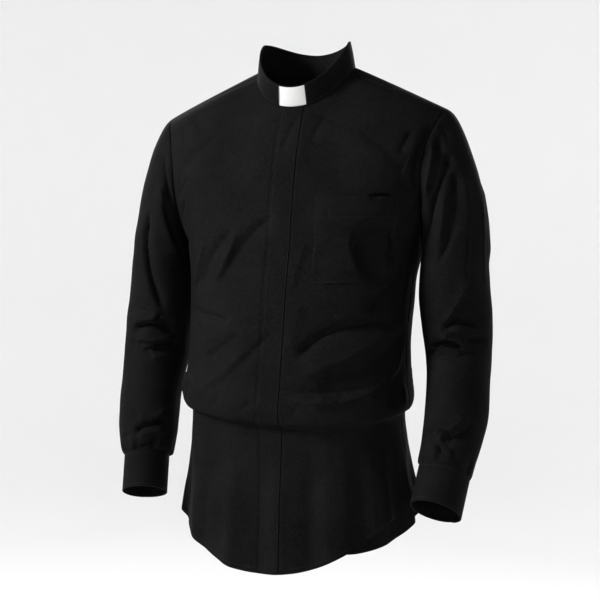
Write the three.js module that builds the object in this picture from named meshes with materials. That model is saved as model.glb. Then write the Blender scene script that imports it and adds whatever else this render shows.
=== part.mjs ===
// A long-sleeved clergy shirt as it is worn: tab collar with its white insert, fly front, breast
// pocket, yoke, set-in sleeves with buttoned cuffs, and tails drawn in where they are tucked.
// Millimetres. +X is the wearer's left, -Y the front and +Z up. The origin lies between the points
// where the collar meets the shoulders.
import * as THREE from "three";

// Driving sizes.
const WALL = 1.5; // body and sleeve cloth
const TRIM_WALL = 1.2; // a strip, pocket or collar layer that lies on the cloth
const GAP = 0.3; // between two pieces at a seam
const PLACKET_HALF = 17.5;
const POCKET = { near: 53, far: 173, top: -197 }; // along the cloth from the centre front, and the height of its top
const NECK = { halfWidth: 75, front: 58, back: 66 };
const RIDGE_Y = 12; // the shoulder line lies behind the middle of the neck
const SHOULDER = { slope: 0.49, neckRound: 40, neckReach: 87, halfWidth: 242, flare: 0.75 };
const SQUARE = 2.3; // squareness of the body's sections: 2 is an ellipse
const YOKE = { frontAngle: 76, backCentre: -104, backSide: -112 };

// Sections of the body from the chest line down. level is the height at the sides, dip lowers the
// front and raises the back, lean lowers the wearer's left, rise lifts the sides of the hem, and turn
// swings the front to the right.
const BODY = [
  // The first row only guides the slope.
  { level: -190, halfWidth: 172, front: 120, back: 107, axisX: 0, turn: 0, dip: 0, lean: 0, rise: 0 },
  { level: -255, halfWidth: 181, front: 114, back: 118, axisX: 0, turn: 0, dip: 0, lean: 0, rise: 0 }, // chest line
  { level: -320, halfWidth: 172, front: 120, back: 107, axisX: -2, turn: -1, dip: 3, lean: 0, rise: 0 }, // ribs
  { level: -393, halfWidth: 169, front: 124, back: 97, axisX: -4, turn: -2, dip: 10, lean: 4, rise: 0 }, // waist
  { level: -450, halfWidth: 172, front: 129, back: 96, axisX: -5, turn: -3, dip: 20, lean: 8, rise: 0 },
  { level: -481, halfWidth: 177, front: 133, back: 98, axisX: -6, turn: -3, dip: 26, lean: 10, rise: 0 }, // bloused over the tuck
  { level: -496, halfWidth: 174, front: 130, back: 97, axisX: -6, turn: -3, dip: 28, lean: 10, rise: 0 },
  { level: -501, halfWidth: 165, front: 120, back: 90, axisX: -6, turn: -3, dip: 28, lean: 10, rise: 0 }, // tuck
  { level: -524, halfWidth: 164, front: 118, back: 89, axisX: -6, turn: -3, dip: 26, lean: 10, rise: 0 },
  { level: -608, halfWidth: 172, front: 120, back: 108, axisX: -6, turn: -3, dip: 12, lean: 6, rise: 12 }, // hips
  { level: -680, halfWidth: 178, front: 124, back: 118, axisX: -6, turn: -3, dip: 4, lean: 2, rise: 52 },
  { level: -742, halfWidth: 181, front: 126, back: 121, axisX: -6, turn: -3, dip: 0, lean: 0, rise: 92 }, // hem
];
const CHEST_ROW = 1;
const HEM_ROW = 11;
const CHEST = BODY[CHEST_ROW];
const POCKET_FOOT_ROW = 2;

// Rows across a front above the chest line: height or neckline angle at the middle, and armhole angle
// at the side.
const FRONT_ROWS = [
  { height: -245, armhole: 28 },
  { height: -230, armhole: 46 },
  { height: -214, armhole: 59 },
  { height: POCKET.top, armhole: 70 },
  { height: -172, armhole: 86 },
  { height: -146, armhole: 103 },
  { height: -118, armhole: 120 },
  { height: -88, armhole: 136 },
  { neckline: 0, armhole: 145 },
  { neckline: 22, armhole: 151 },
  { neckline: 44, armhole: 156 },
];
const BACK_ROWS = 9;
const BODY_ROWS = [
  1.35, 1.7, 2, 2.35, 2.7, 3.05, 3.4, 3.8, 4.2, 4.6, 5, 5.5, 6, 6.5, 7, 7.5, 8, 9, 10, 11,
];
const FRONT_COLUMNS = [0, 9, PLACKET_HALF, 35, POCKET.near, 71, 91, 111, 131, 152, POCKET.far];
const SIDE_COLUMNS = 3; // evenly spaced from the last of those to the side seam
const SIDE_ROOM = 30;

// Sections of each sleeve from the upper arm to the cuff. x is outwards from the body's middle.
const ARMS = {
  left: [
    { x: 231.5, y: 5, z: -275, halfWidth: 48.5, halfDepth: 60 },
    { x: 229.5, y: 7, z: -335, halfWidth: 52, halfDepth: 59 },
    { x: 233, y: 9, z: -385, halfWidth: 51, halfDepth: 57 },
    { x: 236, y: 8, z: -428, halfWidth: 48.5, halfDepth: 55 }, // elbow
    { x: 241, y: -15, z: -472, halfWidth: 45.5, halfDepth: 51 },
    { x: 244, y: -38, z: -515, halfWidth: 45.5, halfDepth: 48 },
    { x: 242.5, y: -62, z: -556, halfWidth: 42.5, halfDepth: 45 },
    { x: 240, y: -77, z: -582, halfWidth: 40, halfDepth: 42 },
    { x: 238.5, y: -82, z: -591, halfWidth: 36.5, halfDepth: 36.5 },
  ],
  right: [
    { x: 229.5, y: 3, z: -272, halfWidth: 46.5, halfDepth: 59 },
    { x: 233.5, y: 5, z: -338, halfWidth: 51, halfDepth: 58 },
    { x: 241, y: 6, z: -384, halfWidth: 50, halfDepth: 56 },
    { x: 246, y: 5, z: -428, halfWidth: 49, halfDepth: 54 }, // elbow
    { x: 246, y: -10, z: -474, halfWidth: 46.5, halfDepth: 50 },
    { x: 243.5, y: -28, z: -518, halfWidth: 46, halfDepth: 47 },
    { x: 240.5, y: -39, z: -546, halfWidth: 44, halfDepth: 45 },
    { x: 238, y: -48, z: -572, halfWidth: 39, halfDepth: 41 },
    { x: 237, y: -51, z: -581, halfWidth: 33, halfDepth: 36 },
  ],
};
const CUFFS = {
  left: { end: [232.6, -106, -644], opening: -52 },
  right: { end: [234.5, -65, -635], opening: -52 },
};
const CUFF = { wall: 1.8, ease: 0.4, overlap: 24, ramp: 70, rows: 3, columns: 27 };
const CUFF_BUTTON = { radius: 5.6, thickness: 2.6, hole: 0.9, holeSpacing: 1.9, stand: 0.6 };
const SLEEVE_ROWS = [
  0, 0.12, 0.28, 0.46, 0.64, 0.82, 1, 1.4, 1.8, 2.2, 2.55, 2.85, 3.05, 3.25, 3.45,
  3.65, 3.85, 4.1, 4.4, 4.75, 5.1, 5.5, 6, 6.45, 6.85, 7.3, 7.7, 8.1, 8.7, 9,
];
const SLEEVE_SLIT = { from: 6, columns: 2 };

const COLLAR = {
  frontRise: 31,
  sideRise: 38,
  backRise: 43,
  topHalfWidth: 69,
  topFront: 64,
  topBack: 61,
  rows: 3,
  standFrom: 0.05,
};
const STAND_WALL = 1.1;
const TAB = { halfWidth: 21.5, tuck: 7, wall: 1, top: 0.93, bottom: 0.02 };
const TAB_LIFT = TAB.wall + GAP;

// The largest folds. around is the angle round the body from the centre front, or round the arm
// from its outer side towards the front, and z the height. Positive stands out.
const BODY_FOLDS = [
  { around: -62, z: -215, toAround: -36, toZ: -300, width: 14, height: 3 },
  { around: -9, z: -237, toAround: -30, toZ: -292, width: 15, height: -3.5 },
  { around: -66, z: -345, toAround: -42, toZ: -412, width: 10, height: -5 },
  { around: -60, z: -333, toAround: -34, toZ: -398, width: 12, height: 3 },
  { around: -11, z: -408, toAround: -40, toZ: -470, width: 18, height: -5 },
  { around: 35, z: -252, toAround: 60, toZ: -231, width: 9, height: 2.5 },
  { around: 36, z: -258, toAround: 80, toZ: -250, width: 15, height: -5 },
  { around: 9, z: -435, toAround: 58, toZ: -372, width: 14, height: 4 },
  { around: 14, z: -456, toAround: 66, toZ: -390, width: 14, height: -4.5 },
  { around: 26, z: -479, toAround: 92, toZ: -394, width: 13, height: 4 },
  { around: 32, z: -490, toAround: 90, toZ: -462, width: 11, height: -4 },
  { around: 48, z: -95, toAround: 64, toZ: -200, width: 15, height: -3.5 },
  { around: -48, z: -95, toAround: -66, toZ: -200, width: 14, height: -3.5 },
  { around: 132, z: -190, toAround: 168, toZ: -330, width: 22, height: -5 },
  { around: -132, z: -190, toAround: -168, toZ: -330, width: 22, height: -5 },
  { around: 104, z: -300, toAround: 140, toZ: -420, width: 20, height: -5 },
  { around: -104, z: -300, toAround: -140, toZ: -420, width: 20, height: -5 },
  { around: 150, z: -380, toAround: 122, toZ: -480, width: 18, height: 5 },
  { around: -150, z: -380, toAround: -122, toZ: -480, width: 18, height: 5 },
  { around: 168, z: -400, toAround: 160, toZ: -490, width: 14, height: -5 },
  { around: -168, z: -400, toAround: -160, toZ: -490, width: 14, height: -5 },
];
// Soft flutes in the tucked tail, all the way round.
const TAIL_FLUTES = { count: 14, height: 4, from: -540, full: -640 };
const SLEEVE_FOLDS = {
  left: [
    { around: 126, z: -115, toAround: 118, toZ: -200, width: 10, height: -4 },
    { around: 99, z: -101, toAround: 116, toZ: -200, width: 9, height: 3 },
    { around: 40, z: -225, toAround: 66, toZ: -335, width: 10, height: 4 },
    { around: 62, z: -325, toAround: 112, toZ: -400, width: 9, height: 5 },
    { around: 75, z: -245, toAround: 100, toZ: -355, width: 13, height: -4.5 },
    { around: 110, z: -399, toAround: 23, toZ: -385, width: 8, height: 5 },
    { around: 125, z: -412, toAround: 45, toZ: -400, width: 7, height: -6 },
    { around: 132, z: -429, toAround: 60, toZ: -409, width: 7, height: 4 },
    { around: 175, z: -428, toAround: 130, toZ: -427, width: 9, height: -6 },
    { around: 150, z: -452, toAround: 70, toZ: -432, width: 8, height: -4 },
    { around: 159, z: -527, toAround: 99, toZ: -534, width: 7, height: 4 },
    { around: 99, z: -534, toAround: 54, toZ: -510, width: 7, height: 4 },
    { around: 140, z: -547, toAround: 60, toZ: -530, width: 8, height: -4 },
    { around: -60, z: -130, toAround: -100, toZ: -270, width: 15, height: -5 },
    { around: -130, z: -385, toAround: -30, toZ: -420, width: 12, height: -4 },
  ],
  right: [
    { around: 60, z: -110, toAround: 100, toZ: -235, width: 13, height: -5 },
    { around: 76, z: -300, toAround: 125, toZ: -369, width: 10, height: -6 },
    { around: 62, z: -290, toAround: 104, toZ: -362, width: 11, height: 4 },
    { around: 39, z: -366, toAround: 106, toZ: -370, width: 8, height: 4 },
    { around: 61, z: -392, toAround: 149, toZ: -398, width: 8, height: -6 },
    { around: 87, z: -410, toAround: 147, toZ: -412, width: 7, height: 5 },
    { around: 87, z: -424, toAround: 149, toZ: -428, width: 7, height: -5 },
    { around: 60, z: -440, toAround: 140, toZ: -444, width: 9, height: 3 },
    { around: 88, z: -518, toAround: 145, toZ: -508, width: 7, height: -4 },
    { around: 101, z: -560, toAround: 144, toZ: -543, width: 6, height: -3.5 },
    { around: -60, z: -130, toAround: -100, toZ: -270, width: 15, height: -5 },
    { around: -130, z: -385, toAround: -30, toZ: -420, width: 12, height: -4 },
  ],
};
const BODY_RADIUS = 150;
const SLEEVE_RADIUS = 52;

const RIGHT_ANGLE = 90;
const STEP = 1e-3;
const { lerp, degToRad, radToDeg, clamp, smoothstep, euclideanModulo } = THREE.MathUtils;
const sine = (degrees) => Math.sin(degToRad(degrees));
const cosine = (degrees) => Math.cos(degToRad(degrees));
const signedPower = (value, exponent) => Math.sign(value) * Math.abs(value) ** exponent;
function evenly(count, from = 0, to = 1) {
  return Array.from({ length: count + 1 }, (_, i) => lerp(from, to, i / count));
}

// A table's columns at a row number with fractions, on a Catmull-Rom curve through its rows.
function tableAt(table, row) {
  const i = clamp(Math.floor(row), 0, table.length - 2);
  const t = row - i;
  const at = {};
  for (const key of Object.keys(table[0])) {
    const here = table[i][key];
    const next = table[i + 1][key];
    const before = i > 0 ? table[i - 1][key] : 2 * here - next;
    const after = i + 2 < table.length ? table[i + 2][key] : 2 * next - here;
    at[key] =
      0.5 *
      (2 * here +
        (next - before) * t +
        (2 * before - 5 * here + 4 * next - after) * t * t +
        (3 * here - before - 3 * next + after) * t * t * t);
  }
  return at;
}

// How far the folds lift or sink the cloth at an angle round it and a height.
function foldRelief(folds, radius, around, z) {
  let relief = 0;
  for (const fold of folds) {
    const toMm = degToRad(radius);
    const alongX = (fold.toAround - fold.around) * toMm;
    const alongZ = fold.toZ - fold.z;
    const x = (euclideanModulo(around - fold.around + 180, 360) - 180) * toMm;
    const length = Math.hypot(alongX, alongZ);
    const share = (x * alongX + (z - fold.z) * alongZ) / (length * length);
    const off = (x * alongZ - (z - fold.z) * alongX) / length;
    const ends = smoothstep(share, -0.15, 0.3) * (1 - smoothstep(share, 0.7, 1.15));
    relief += fold.height * ends * Math.exp(-((off / fold.width) ** 2));
  }
  return relief;
}

function bodyRelief(point) {
  const around = radToDeg(Math.atan2(point.x / 176, -(point.y + 6) / 114));
  const flutes = 1 - smoothstep(point.z, TAIL_FLUTES.full, TAIL_FLUTES.from);
  return (
    foldRelief(BODY_FOLDS, BODY_RADIUS, around, point.z) +
    flutes * TAIL_FLUTES.height * Math.sin(degToRad(around * TAIL_FLUTES.count) + 1)
  );
}

// A point of the cloth with its outward normal, the folds added.
function clothPoint(surface, u, v, relief) {
  const point = surface(u, v);
  const alongU = surface(u + STEP, v).sub(surface(u - STEP, v));
  const alongV = surface(u, v + STEP).sub(surface(u, v - STEP));
  const normal = alongU.cross(alongV).normalize();
  return { point: point.clone().addScaledVector(normal, relief(point)), normal };
}

// Body below the chest line: an angle round it from the centre front, and a row of BODY.
function bodyBelow(angle, negativeRow) {
  const ring = tableAt(BODY, -negativeRow);
  const middle = (ring.back - ring.front) / 2;
  const depth = (ring.back + ring.front) / 2;
  const x = ring.halfWidth * signedPower(sine(angle), 2 / SQUARE);
  const y = -depth * signedPower(cosine(angle), 2 / SQUARE);
  return new THREE.Vector3(
    ring.axisX + x * cosine(ring.turn) - y * sine(ring.turn),
    middle + x * sine(ring.turn) + y * cosine(ring.turn),
    ring.level - ring.dip * cosine(angle) - ring.lean * sine(angle) + ring.rise * sine(angle) ** 2,
  );
}
const belowPoint = (angle, row) => clothPoint(bodyBelow, angle, -row, bodyRelief);

// Body above the chest line: across is -90 to 90 from side to side, and over runs from the front
// chest line at 0 over the shoulder line at 90 to the back chest line at 180.
function domeShape(across, over) {
  const share = signedPower(sine(across), 2 / SQUARE);
  const reach = Math.min(Math.abs(share), 1);
  const fullness = over < RIGHT_ANGLE ? lerp(1.48, 2.2, smoothstep(reach, 0.25, 0.95)) : lerp(2, 2.2, reach);
  const fromNeck = Math.hypot(share * SHOULDER.halfWidth, SHOULDER.neckRound);
  const top = SHOULDER.slope * (SHOULDER.neckReach - fromNeck);
  return { share, round: 2 / fullness, height: top - CHEST.level };
}
function bodyAbove(across, over) {
  const { share, round, height } = domeShape(across, over);
  const halfWidth = lerp(CHEST.halfWidth, SHOULDER.halfWidth, Math.abs(sine(over)) ** SHOULDER.flare);
  const middle = (CHEST.back - CHEST.front) / 2;
  const depth = ((CHEST.back + CHEST.front) / 2) * signedPower(cosine(across), 2 / SQUARE);
  const edge = over < RIGHT_ANGLE ? middle - depth : middle + depth;
  return new THREE.Vector3(
    share * halfWidth,
    RIDGE_Y + Math.sign(RIGHT_ANGLE - over || 1) * (edge - RIDGE_Y) * signedPower(cosine(over), round),
    CHEST.level + height * signedPower(sine(over), round),
  );
}
const abovePoint = (across, over) => clothPoint(bodyAbove, across, over, bodyRelief);

function overAtHeight(across, z, behind) {
  const side = behind ? 180 : 0;
  const { round, height } = domeShape(across, side);
  const over = radToDeg(Math.asin(clamp((z - CHEST.level) / height, 0, 1) ** (1 / round)));
  return behind ? 180 - over : over;
}

// Halves an interval until the rising function meets its target.
function solve(rising, target, low, high) {
  for (let i = 0; i < 50; i++) {
    const middle = (low + high) / 2;
    if (rising(middle) < target) low = middle;
    else high = middle;
  }
  return (low + high) / 2;
}

// Where the neckline runs on the body: 0 at the centre front and 180 at the centre back.
function neckline(angle) {
  const x = NECK.halfWidth * sine(angle);
  const y = (NECK.back - NECK.front) / 2 - ((NECK.back + NECK.front) / 2) * cosine(angle);
  const acrossAt = (over) => {
    const halfWidth = lerp(CHEST.halfWidth, SHOULDER.halfWidth, sine(over) ** SHOULDER.flare);
    return radToDeg(Math.asin(signedPower(x / halfWidth, SQUARE / 2)));
  };
  const over = solve((o) => bodyAbove(acrossAt(o), o).y, y, 15, 165);
  return { across: acrossAt(over), over };
}

// Where the armhole runs: 0 at the underarm, 90 in front, 180 on the shoulder and 270 behind.
function armhole(angle) {
  const edge = 0.5 * sine(angle / 2) + 0.14 * sine(angle) ** 2;
  return { across: radToDeg(Math.acos(edge ** (SQUARE / 2))), over: RIGHT_ANGLE * (1 - cosine(angle / 2)) };
}
const backSeamHeight = (across) => lerp(YOKE.backCentre, YOKE.backSide, Math.abs(across) / RIGHT_ANGLE);
const backSeamOver = (across) => overAtHeight(across, backSeamHeight(across), true);

const yokeFrontArmhole = solve((a) => armhole(a).over, YOKE.frontAngle, 0, 180);
const yokeBackArmhole = solve((a) => armhole(a).over - backSeamOver(armhole(a).across), 0, 180, 359);
const yokeNeckline = solve((a) => neckline(a).over, YOKE.frontAngle, 0, 120);
const SEAM_ANGLE = 0.09; // half a seam's gap, in degrees over the shoulder

// Points at the given distances along a curve, measured on the cloth.
const CURVE_SAMPLES = 160;
function alongCurve(curve, distancesOf) {
  const shares = evenly(CURVE_SAMPLES);
  const points = shares.map((t) => curve(t).point);
  const lengths = [0];
  for (let i = 1; i < points.length; i++) {
    lengths.push(lengths[i - 1] + points[i].distanceTo(points[i - 1]));
  }
  return distancesOf(lengths[CURVE_SAMPLES]).map((distance) => {
    let i = 1;
    while (i < CURVE_SAMPLES && lengths[i] < distance) i++;
    const t = clamp((distance - lengths[i - 1]) / (lengths[i] - lengths[i - 1]), 0, 1);
    return curve(lerp(shares[i - 1], shares[i], t));
  });
}

// A row's points on one front, from the centre or the neckline to the side seam or the armhole.
function frontDistances(length, atNeck, seamed) {
  const last = FRONT_COLUMNS[FRONT_COLUMNS.length - 1];
  const shrink = Math.min(1, (length - SIDE_ROOM) / last);
  const fixed = FRONT_COLUMNS.map((distance) => distance * shrink);
  if (!atNeck) fixed[0] = GAP / 2;
  const end = seamed ? length - GAP / 2 : length;
  return [...fixed, ...evenly(SIDE_COLUMNS, last * shrink, end).slice(1)];
}
function frontRow(curve, atNeck, seamed) {
  return alongCurve(curve, (length) => frontDistances(length, atNeck, seamed));
}
function frontGrid(side) {
  const rows = [];
  for (const row of [...BODY_ROWS].reverse().concat(CHEST_ROW)) {
    rows.push(frontRow((t) => belowPoint(side * RIGHT_ANGLE * t, row), false, true));
  }
  for (const row of FRONT_ROWS) {
    const outer = armhole(row.armhole);
    const outerZ = bodyAbove(outer.across, outer.over).z;
    const inner = row.neckline === undefined ? null : neckline(row.neckline);
    const curve = (t) => {
      if (!inner) {
        const across = outer.across * t;
        return abovePoint(side * across, overAtHeight(across, lerp(row.height, outerZ, t), false));
      }
      return abovePoint(side * lerp(inner.across, outer.across, t), lerp(inner.over, outer.over, t));
    };
    rows.push(frontRow(curve, Boolean(row.neckline), false));
  }
  const inner = neckline(yokeNeckline);
  const outer = armhole(yokeFrontArmhole);
  const seam = YOKE.frontAngle - SEAM_ANGLE;
  rows.push(frontRow((t) => abovePoint(side * lerp(inner.across, outer.across, t), seam), true, false));
  return rows;
}

// The back below the yoke, from the right side seam across to the left.
const BACK_COLUMNS = 20;
function backGrid() {
  const rows = [];
  const across = (curve, seamed) =>
    alongCurve(curve, (length) => {
      const inset = seamed ? GAP / 2 : 0;
      return evenly(BACK_COLUMNS, inset, length - inset);
    });
  for (const row of [...BODY_ROWS].reverse().concat(CHEST_ROW)) {
    rows.push(across((t) => belowPoint(lerp(-90, -270, t), row), true));
  }
  for (const angle of backArmholeAngles().slice(1)) {
    const edge = armhole(angle);
    const sideShare = (180 - edge.over) / (180 - backSeamOver(edge.across));
    const centreShare = (360 - angle) / (360 - yokeBackArmhole);
    const gap = angle === yokeBackArmhole ? SEAM_ANGLE : 0;
    rows.push(
      across((t) => {
        const angleAcross = lerp(-edge.across, edge.across, t);
        const share = lerp(centreShare, sideShare, (angleAcross / edge.across) ** 2);
        return abovePoint(angleAcross, 180 - (180 - backSeamOver(angleAcross)) * share + gap);
      }, false),
    );
  }
  return rows;
}

// Armhole angles of the panels' edge points, so that the sleeve takes the same ones.
const backArmholeAngles = () => evenly(BACK_ROWS, 360, yokeBackArmhole);
const yokeArmholeAngles = () => evenly(4, yokeFrontArmhole, yokeBackArmhole);
function armholeLoop() {
  const front = [0, ...FRONT_ROWS.map((row) => row.armhole)];
  return [...front, ...yokeArmholeAngles(), ...backArmholeAngles().reverse().slice(1, -1)];
}

// The yoke, in columns from the neckline out: along the left front seam, the left armhole, the back
// seam, and on to the right.
const YOKE_BACK_COLUMNS = 12;
const YOKE_NECK_COLUMNS = YOKE_BACK_COLUMNS + 8;
const YOKE_ROWS = 5;
function yokeGrid() {
  const left = yokeArmholeAngles().map((angle) => armhole(angle));
  const corner = left[left.length - 1];
  left[0] = { across: left[0].across, over: YOKE.frontAngle + SEAM_ANGLE };
  const back = evenly(YOKE_BACK_COLUMNS, corner.across, -corner.across).map((across) => ({
    across,
    over: backSeamOver(across) - SEAM_ANGLE,
  }));
  const mirrored = (edge) => ({ across: -edge.across, over: edge.over });
  const outer = [...left.slice(0, -1), ...back, ...left.slice(0, -1).reverse().map(mirrored)];
  const last = outer.length - 1;
  const neck = outer.map((_, i) => neckline(lerp(yokeNeckline, 360 - yokeNeckline, i / last)));
  neck[0].over += SEAM_ANGLE;
  neck[last].over += SEAM_ANGLE;
  return outer.map(({ across, over }, i) =>
    evenly(YOKE_ROWS).map((t) => abovePoint(lerp(neck[i].across, across, t), lerp(neck[i].over, over, t))),
  );
}

// A sleeve, in rings from the armhole down. Row 0 to 1 leaves the armhole and row 1 on follows ARMS.
function armFrame(side, arm, row) {
  const at = tableAt(arm, row - 1);
  const next = tableAt(arm, row - 1 + STEP);
  const centre = new THREE.Vector3(side * at.x, at.y, at.z);
  const down = new THREE.Vector3(side * next.x, next.y, next.z).sub(centre).normalize();
  const outward = new THREE.Vector3(side, 0, 0);
  outward.addScaledVector(down, -outward.dot(down)).normalize();
  const forward = down.clone().cross(outward).multiplyScalar(side);
  if (forward.y > 0) forward.negate();
  return { centre, down, outward, forward, halfWidth: at.halfWidth, halfDepth: at.halfDepth };
}
function armPoint(frame, around) {
  return frame.centre
    .clone()
    .addScaledVector(frame.outward, frame.halfWidth * cosine(around))
    .addScaledVector(frame.forward, frame.halfDepth * sine(around));
}
function sleeveColumns(side, arm) {
  const loop = armholeLoop();
  const edges = loop.map((angle) => {
    const at = armhole(angle);
    return abovePoint(side * at.across, at.over);
  });
  const lengths = [0];
  edges.forEach((edge, i) => {
    const next = edges[(i + 1) % edges.length];
    lengths.push(lengths[i] + edge.point.distanceTo(next.point));
  });
  const top = armFrame(side, arm, 1);
  return edges.map((edge, i) => {
    const around = 180 - (360 * lengths[i]) / lengths[edges.length];
    const high = sine(loop[i] / 2) ** 2; // 0 at the underarm, 1 on the shoulder
    const leave = new THREE.Vector3(side * lerp(0.4, 0.84, high), -0.3 * sine(loop[i]), -lerp(0.9, 0.54, high));
    leave.normalize();
    return {
      around,
      start: edge.point.clone().addScaledVector(leave, 2 * GAP),
      leave: leave.multiplyScalar(lerp(22, 108, high)),
      end: armPoint(top, around),
      arrive: top.down.clone().multiplyScalar(lerp(26, 200, high)),
    };
  });
}
function sleeveSurface(side, arm, column, row) {
  if (row >= 1) return armPoint(armFrame(side, arm, row), column.around);
  const t = Math.max(row, 0);
  const point = new THREE.Vector3();
  point.addScaledVector(column.start, 2 * t ** 3 - 3 * t ** 2 + 1);
  point.addScaledVector(column.leave, t ** 3 - 2 * t ** 2 + t);
  point.addScaledVector(column.end, -2 * t ** 3 + 3 * t ** 2);
  return point.addScaledVector(column.arrive, t ** 3 - t ** 2);
}
function sleeveGrid(side, name) {
  const arm = ARMS[name];
  const columns = sleeveColumns(side, arm);
  const base = SLEEVE_ROWS.map((row) => columns.map((column) => sleeveSurface(side, arm, column, row)));
  const last = columns.length - 1;
  return SLEEVE_ROWS.map((row, r) =>
    columns.map((column, c) => {
      const ring = base[r];
      const around = ring[c < last ? c + 1 : 0].clone().sub(ring[c > 0 ? c - 1 : last]);
      const along = sleeveSurface(side, arm, column, row + STEP).sub(sleeveSurface(side, arm, column, row - STEP));
      const normal = along.cross(around).normalize().multiplyScalar(side);
      const point = base[r][c].clone();
      const settle = smoothstep(row, 0, 0.2) * (1 - smoothstep(row, 8.4, 9));
      const relief = foldRelief(SLEEVE_FOLDS[name], SLEEVE_RADIUS, column.around, point.z);
      return { point: point.addScaledVector(normal, relief * settle), normal };
    }),
  );
}

// The collar: an angle round the neck and a share of its height, as the outer layer's surface.
function collarSurface(angle, share) {
  const seat = neckline(angle);
  const base = bodyAbove(seat.across, seat.over);
  const back = -cosine(angle);
  const endRise = back > 0 ? COLLAR.backRise : COLLAR.frontRise;
  const rise = lerp(COLLAR.sideRise, endRise, Math.abs(back));
  const depth = (COLLAR.topFront + COLLAR.topBack) / 2;
  const top = new THREE.Vector3(
    COLLAR.topHalfWidth * sine(angle),
    (COLLAR.topBack - COLLAR.topFront) / 2 - depth * cosine(angle),
    base.z + rise,
  );
  base.z += 2 * GAP;
  return base.lerp(top, share);
}
function collarPoint(angle, share) {
  const alongAngle = collarSurface(angle + 0.5, share).sub(collarSurface(angle - 0.5, share));
  const alongHeight = collarSurface(angle, share + 0.01).sub(collarSurface(angle, share - 0.01));
  return { point: collarSurface(angle, share), normal: alongAngle.cross(alongHeight).normalize() };
}
const collarGrid = (angles, from = 0, to = 1) =>
  evenly(COLLAR.rows, from, to).map((share) => angles.map((angle) => collarPoint(angle, share)));

// Angles round the neck from a start near the centre front to the same one on the other side, at the
// panels' own points and midway between them.
function neckAngles(start) {
  const front = [11, 22, 33, 44, 55].filter((angle) => angle > start);
  const behind = evenly(YOKE_NECK_COLUMNS, yokeNeckline, 360 - yokeNeckline);
  return [start, ...front, ...behind, ...front.reverse().map((angle) => 360 - angle), 360 - start];
}

// Turns a grid of cloth points into one closed wall. lift moves it out from the points, keep chooses
// cells, and ring joins the last column to the first.
function clothWall(grid, { wall = WALL, lift = () => 0, ring = false, cells = null } = {}) {
  const columns = grid[0].length;
  const index = (r, c) => r * columns + (c % columns);
  const faces = cells ? cells(index) : [];
  if (!cells) {
    for (let r = 0; r + 1 < grid.length; r++) {
      for (let c = 0; c + 1 < columns + (ring ? 1 : 0); c++) {
        faces.push([index(r, c), index(r, c + 1), index(r + 1, c + 1), index(r + 1, c)]);
      }
    }
  }
  const flat = grid.flat();
  const outer = flat.map(({ point, normal }, i) => point.clone().addScaledVector(normal, lift(i % columns)));
  const inner = flat.map(({ normal }, i) => outer[i].clone().addScaledVector(normal, -wall));
  const first = faces[Math.floor(faces.length / 2)];
  const facing = outer[first[1]].clone().sub(outer[first[0]]).cross(outer[first[2]].clone().sub(outer[first[0]]));
  if (facing.dot(flat[first[0]].normal) < 0) faces.forEach((face) => face.reverse());
  const positions = [];
  const triangle = (a, b, c) => [a, b, c].forEach((v) => positions.push(v.x, v.y, v.z));
  const edges = new Map();
  for (const face of faces) {
    face.forEach((a, i) => edges.set(`${a},${face[(i + 1) % face.length]}`, [a, face[(i + 1) % face.length]]));
    for (let i = 1; i + 1 < face.length; i++) {
      triangle(outer[face[0]], outer[face[i]], outer[face[i + 1]]);
      triangle(inner[face[0]], inner[face[i + 1]], inner[face[i]]);
    }
  }
  for (const [a, b] of edges.values()) {
    if (edges.has(`${b},${a}`)) continue;
    triangle(outer[a], inner[a], inner[b]);
    triangle(outer[a], inner[b], outer[b]);
  }
  return new THREE.BufferGeometry().setAttribute("position", new THREE.Float32BufferAttribute(positions, 3));
}

// Cells between two rows and two columns of a grid, with the two lower corners cut off on request.
function cellBlock(fromRow, toRow, fromColumn, toColumn, cutCorners) {
  return (index) => {
    const faces = [];
    for (let r = fromRow; r < toRow; r++) {
      for (let c = fromColumn; c < toColumn; c++) {
        const corner = [index(r, c), index(r, c + 1), index(r + 1, c + 1), index(r + 1, c)];
        if (cutCorners && r === fromRow && c === fromColumn) corner.splice(0, 1);
        else if (cutCorners && r === fromRow && c === toColumn - 1) corner.splice(1, 1);
        faces.push(corner);
      }
    }
    return faces;
  };
}

const shirt = new THREE.Group();
const black = new THREE.MeshStandardMaterial({ color: 0x17171a, roughness: 0.9, metalness: 0 });
const white = new THREE.MeshStandardMaterial({ color: 0xf2f2f0, roughness: 0.55, metalness: 0 });
const buttonBlack = new THREE.MeshStandardMaterial({ color: 0x101012, roughness: 0.4, metalness: 0 });
function addPiece(name, geometry, material = black) {
  const mesh = new THREE.Mesh(geometry, material);
  mesh.name = name;
  shirt.add(mesh);
  return mesh;
}

function addBody() {
  const left = frontGrid(1);
  const right = frontGrid(-1);
  addPiece("front_left", clothWall(left));
  addPiece("front_right", clothWall(right));
  addPiece("back", clothWall(backGrid()));
  addPiece("yoke", clothWall(yokeGrid()));
  addPlacket(left, right);
  addPocket(left);
}

// The fly strip lies on both fronts, from the neckline to the hem.
function addPlacket(left, right) {
  const stripRows = BODY_ROWS.length + 1 + FRONT_ROWS.findIndex((row) => row.neckline === 0) + 1;
  const stripColumn = FRONT_COLUMNS.indexOf(PLACKET_HALF);
  const grid = left.slice(0, stripRows).map((row, r) => {
    const middle = {
      point: row[0].point.clone().lerp(right[r][0].point, 0.5),
      normal: row[0].normal.clone().add(right[r][0].normal).normalize(),
    };
    return [...right[r].slice(1, stripColumn + 1).reverse(), middle, ...row.slice(1, stripColumn + 1)];
  });
  addPiece("placket", clothWall(grid, { wall: TRIM_WALL, lift: () => TRIM_WALL + GAP }));
}

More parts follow.
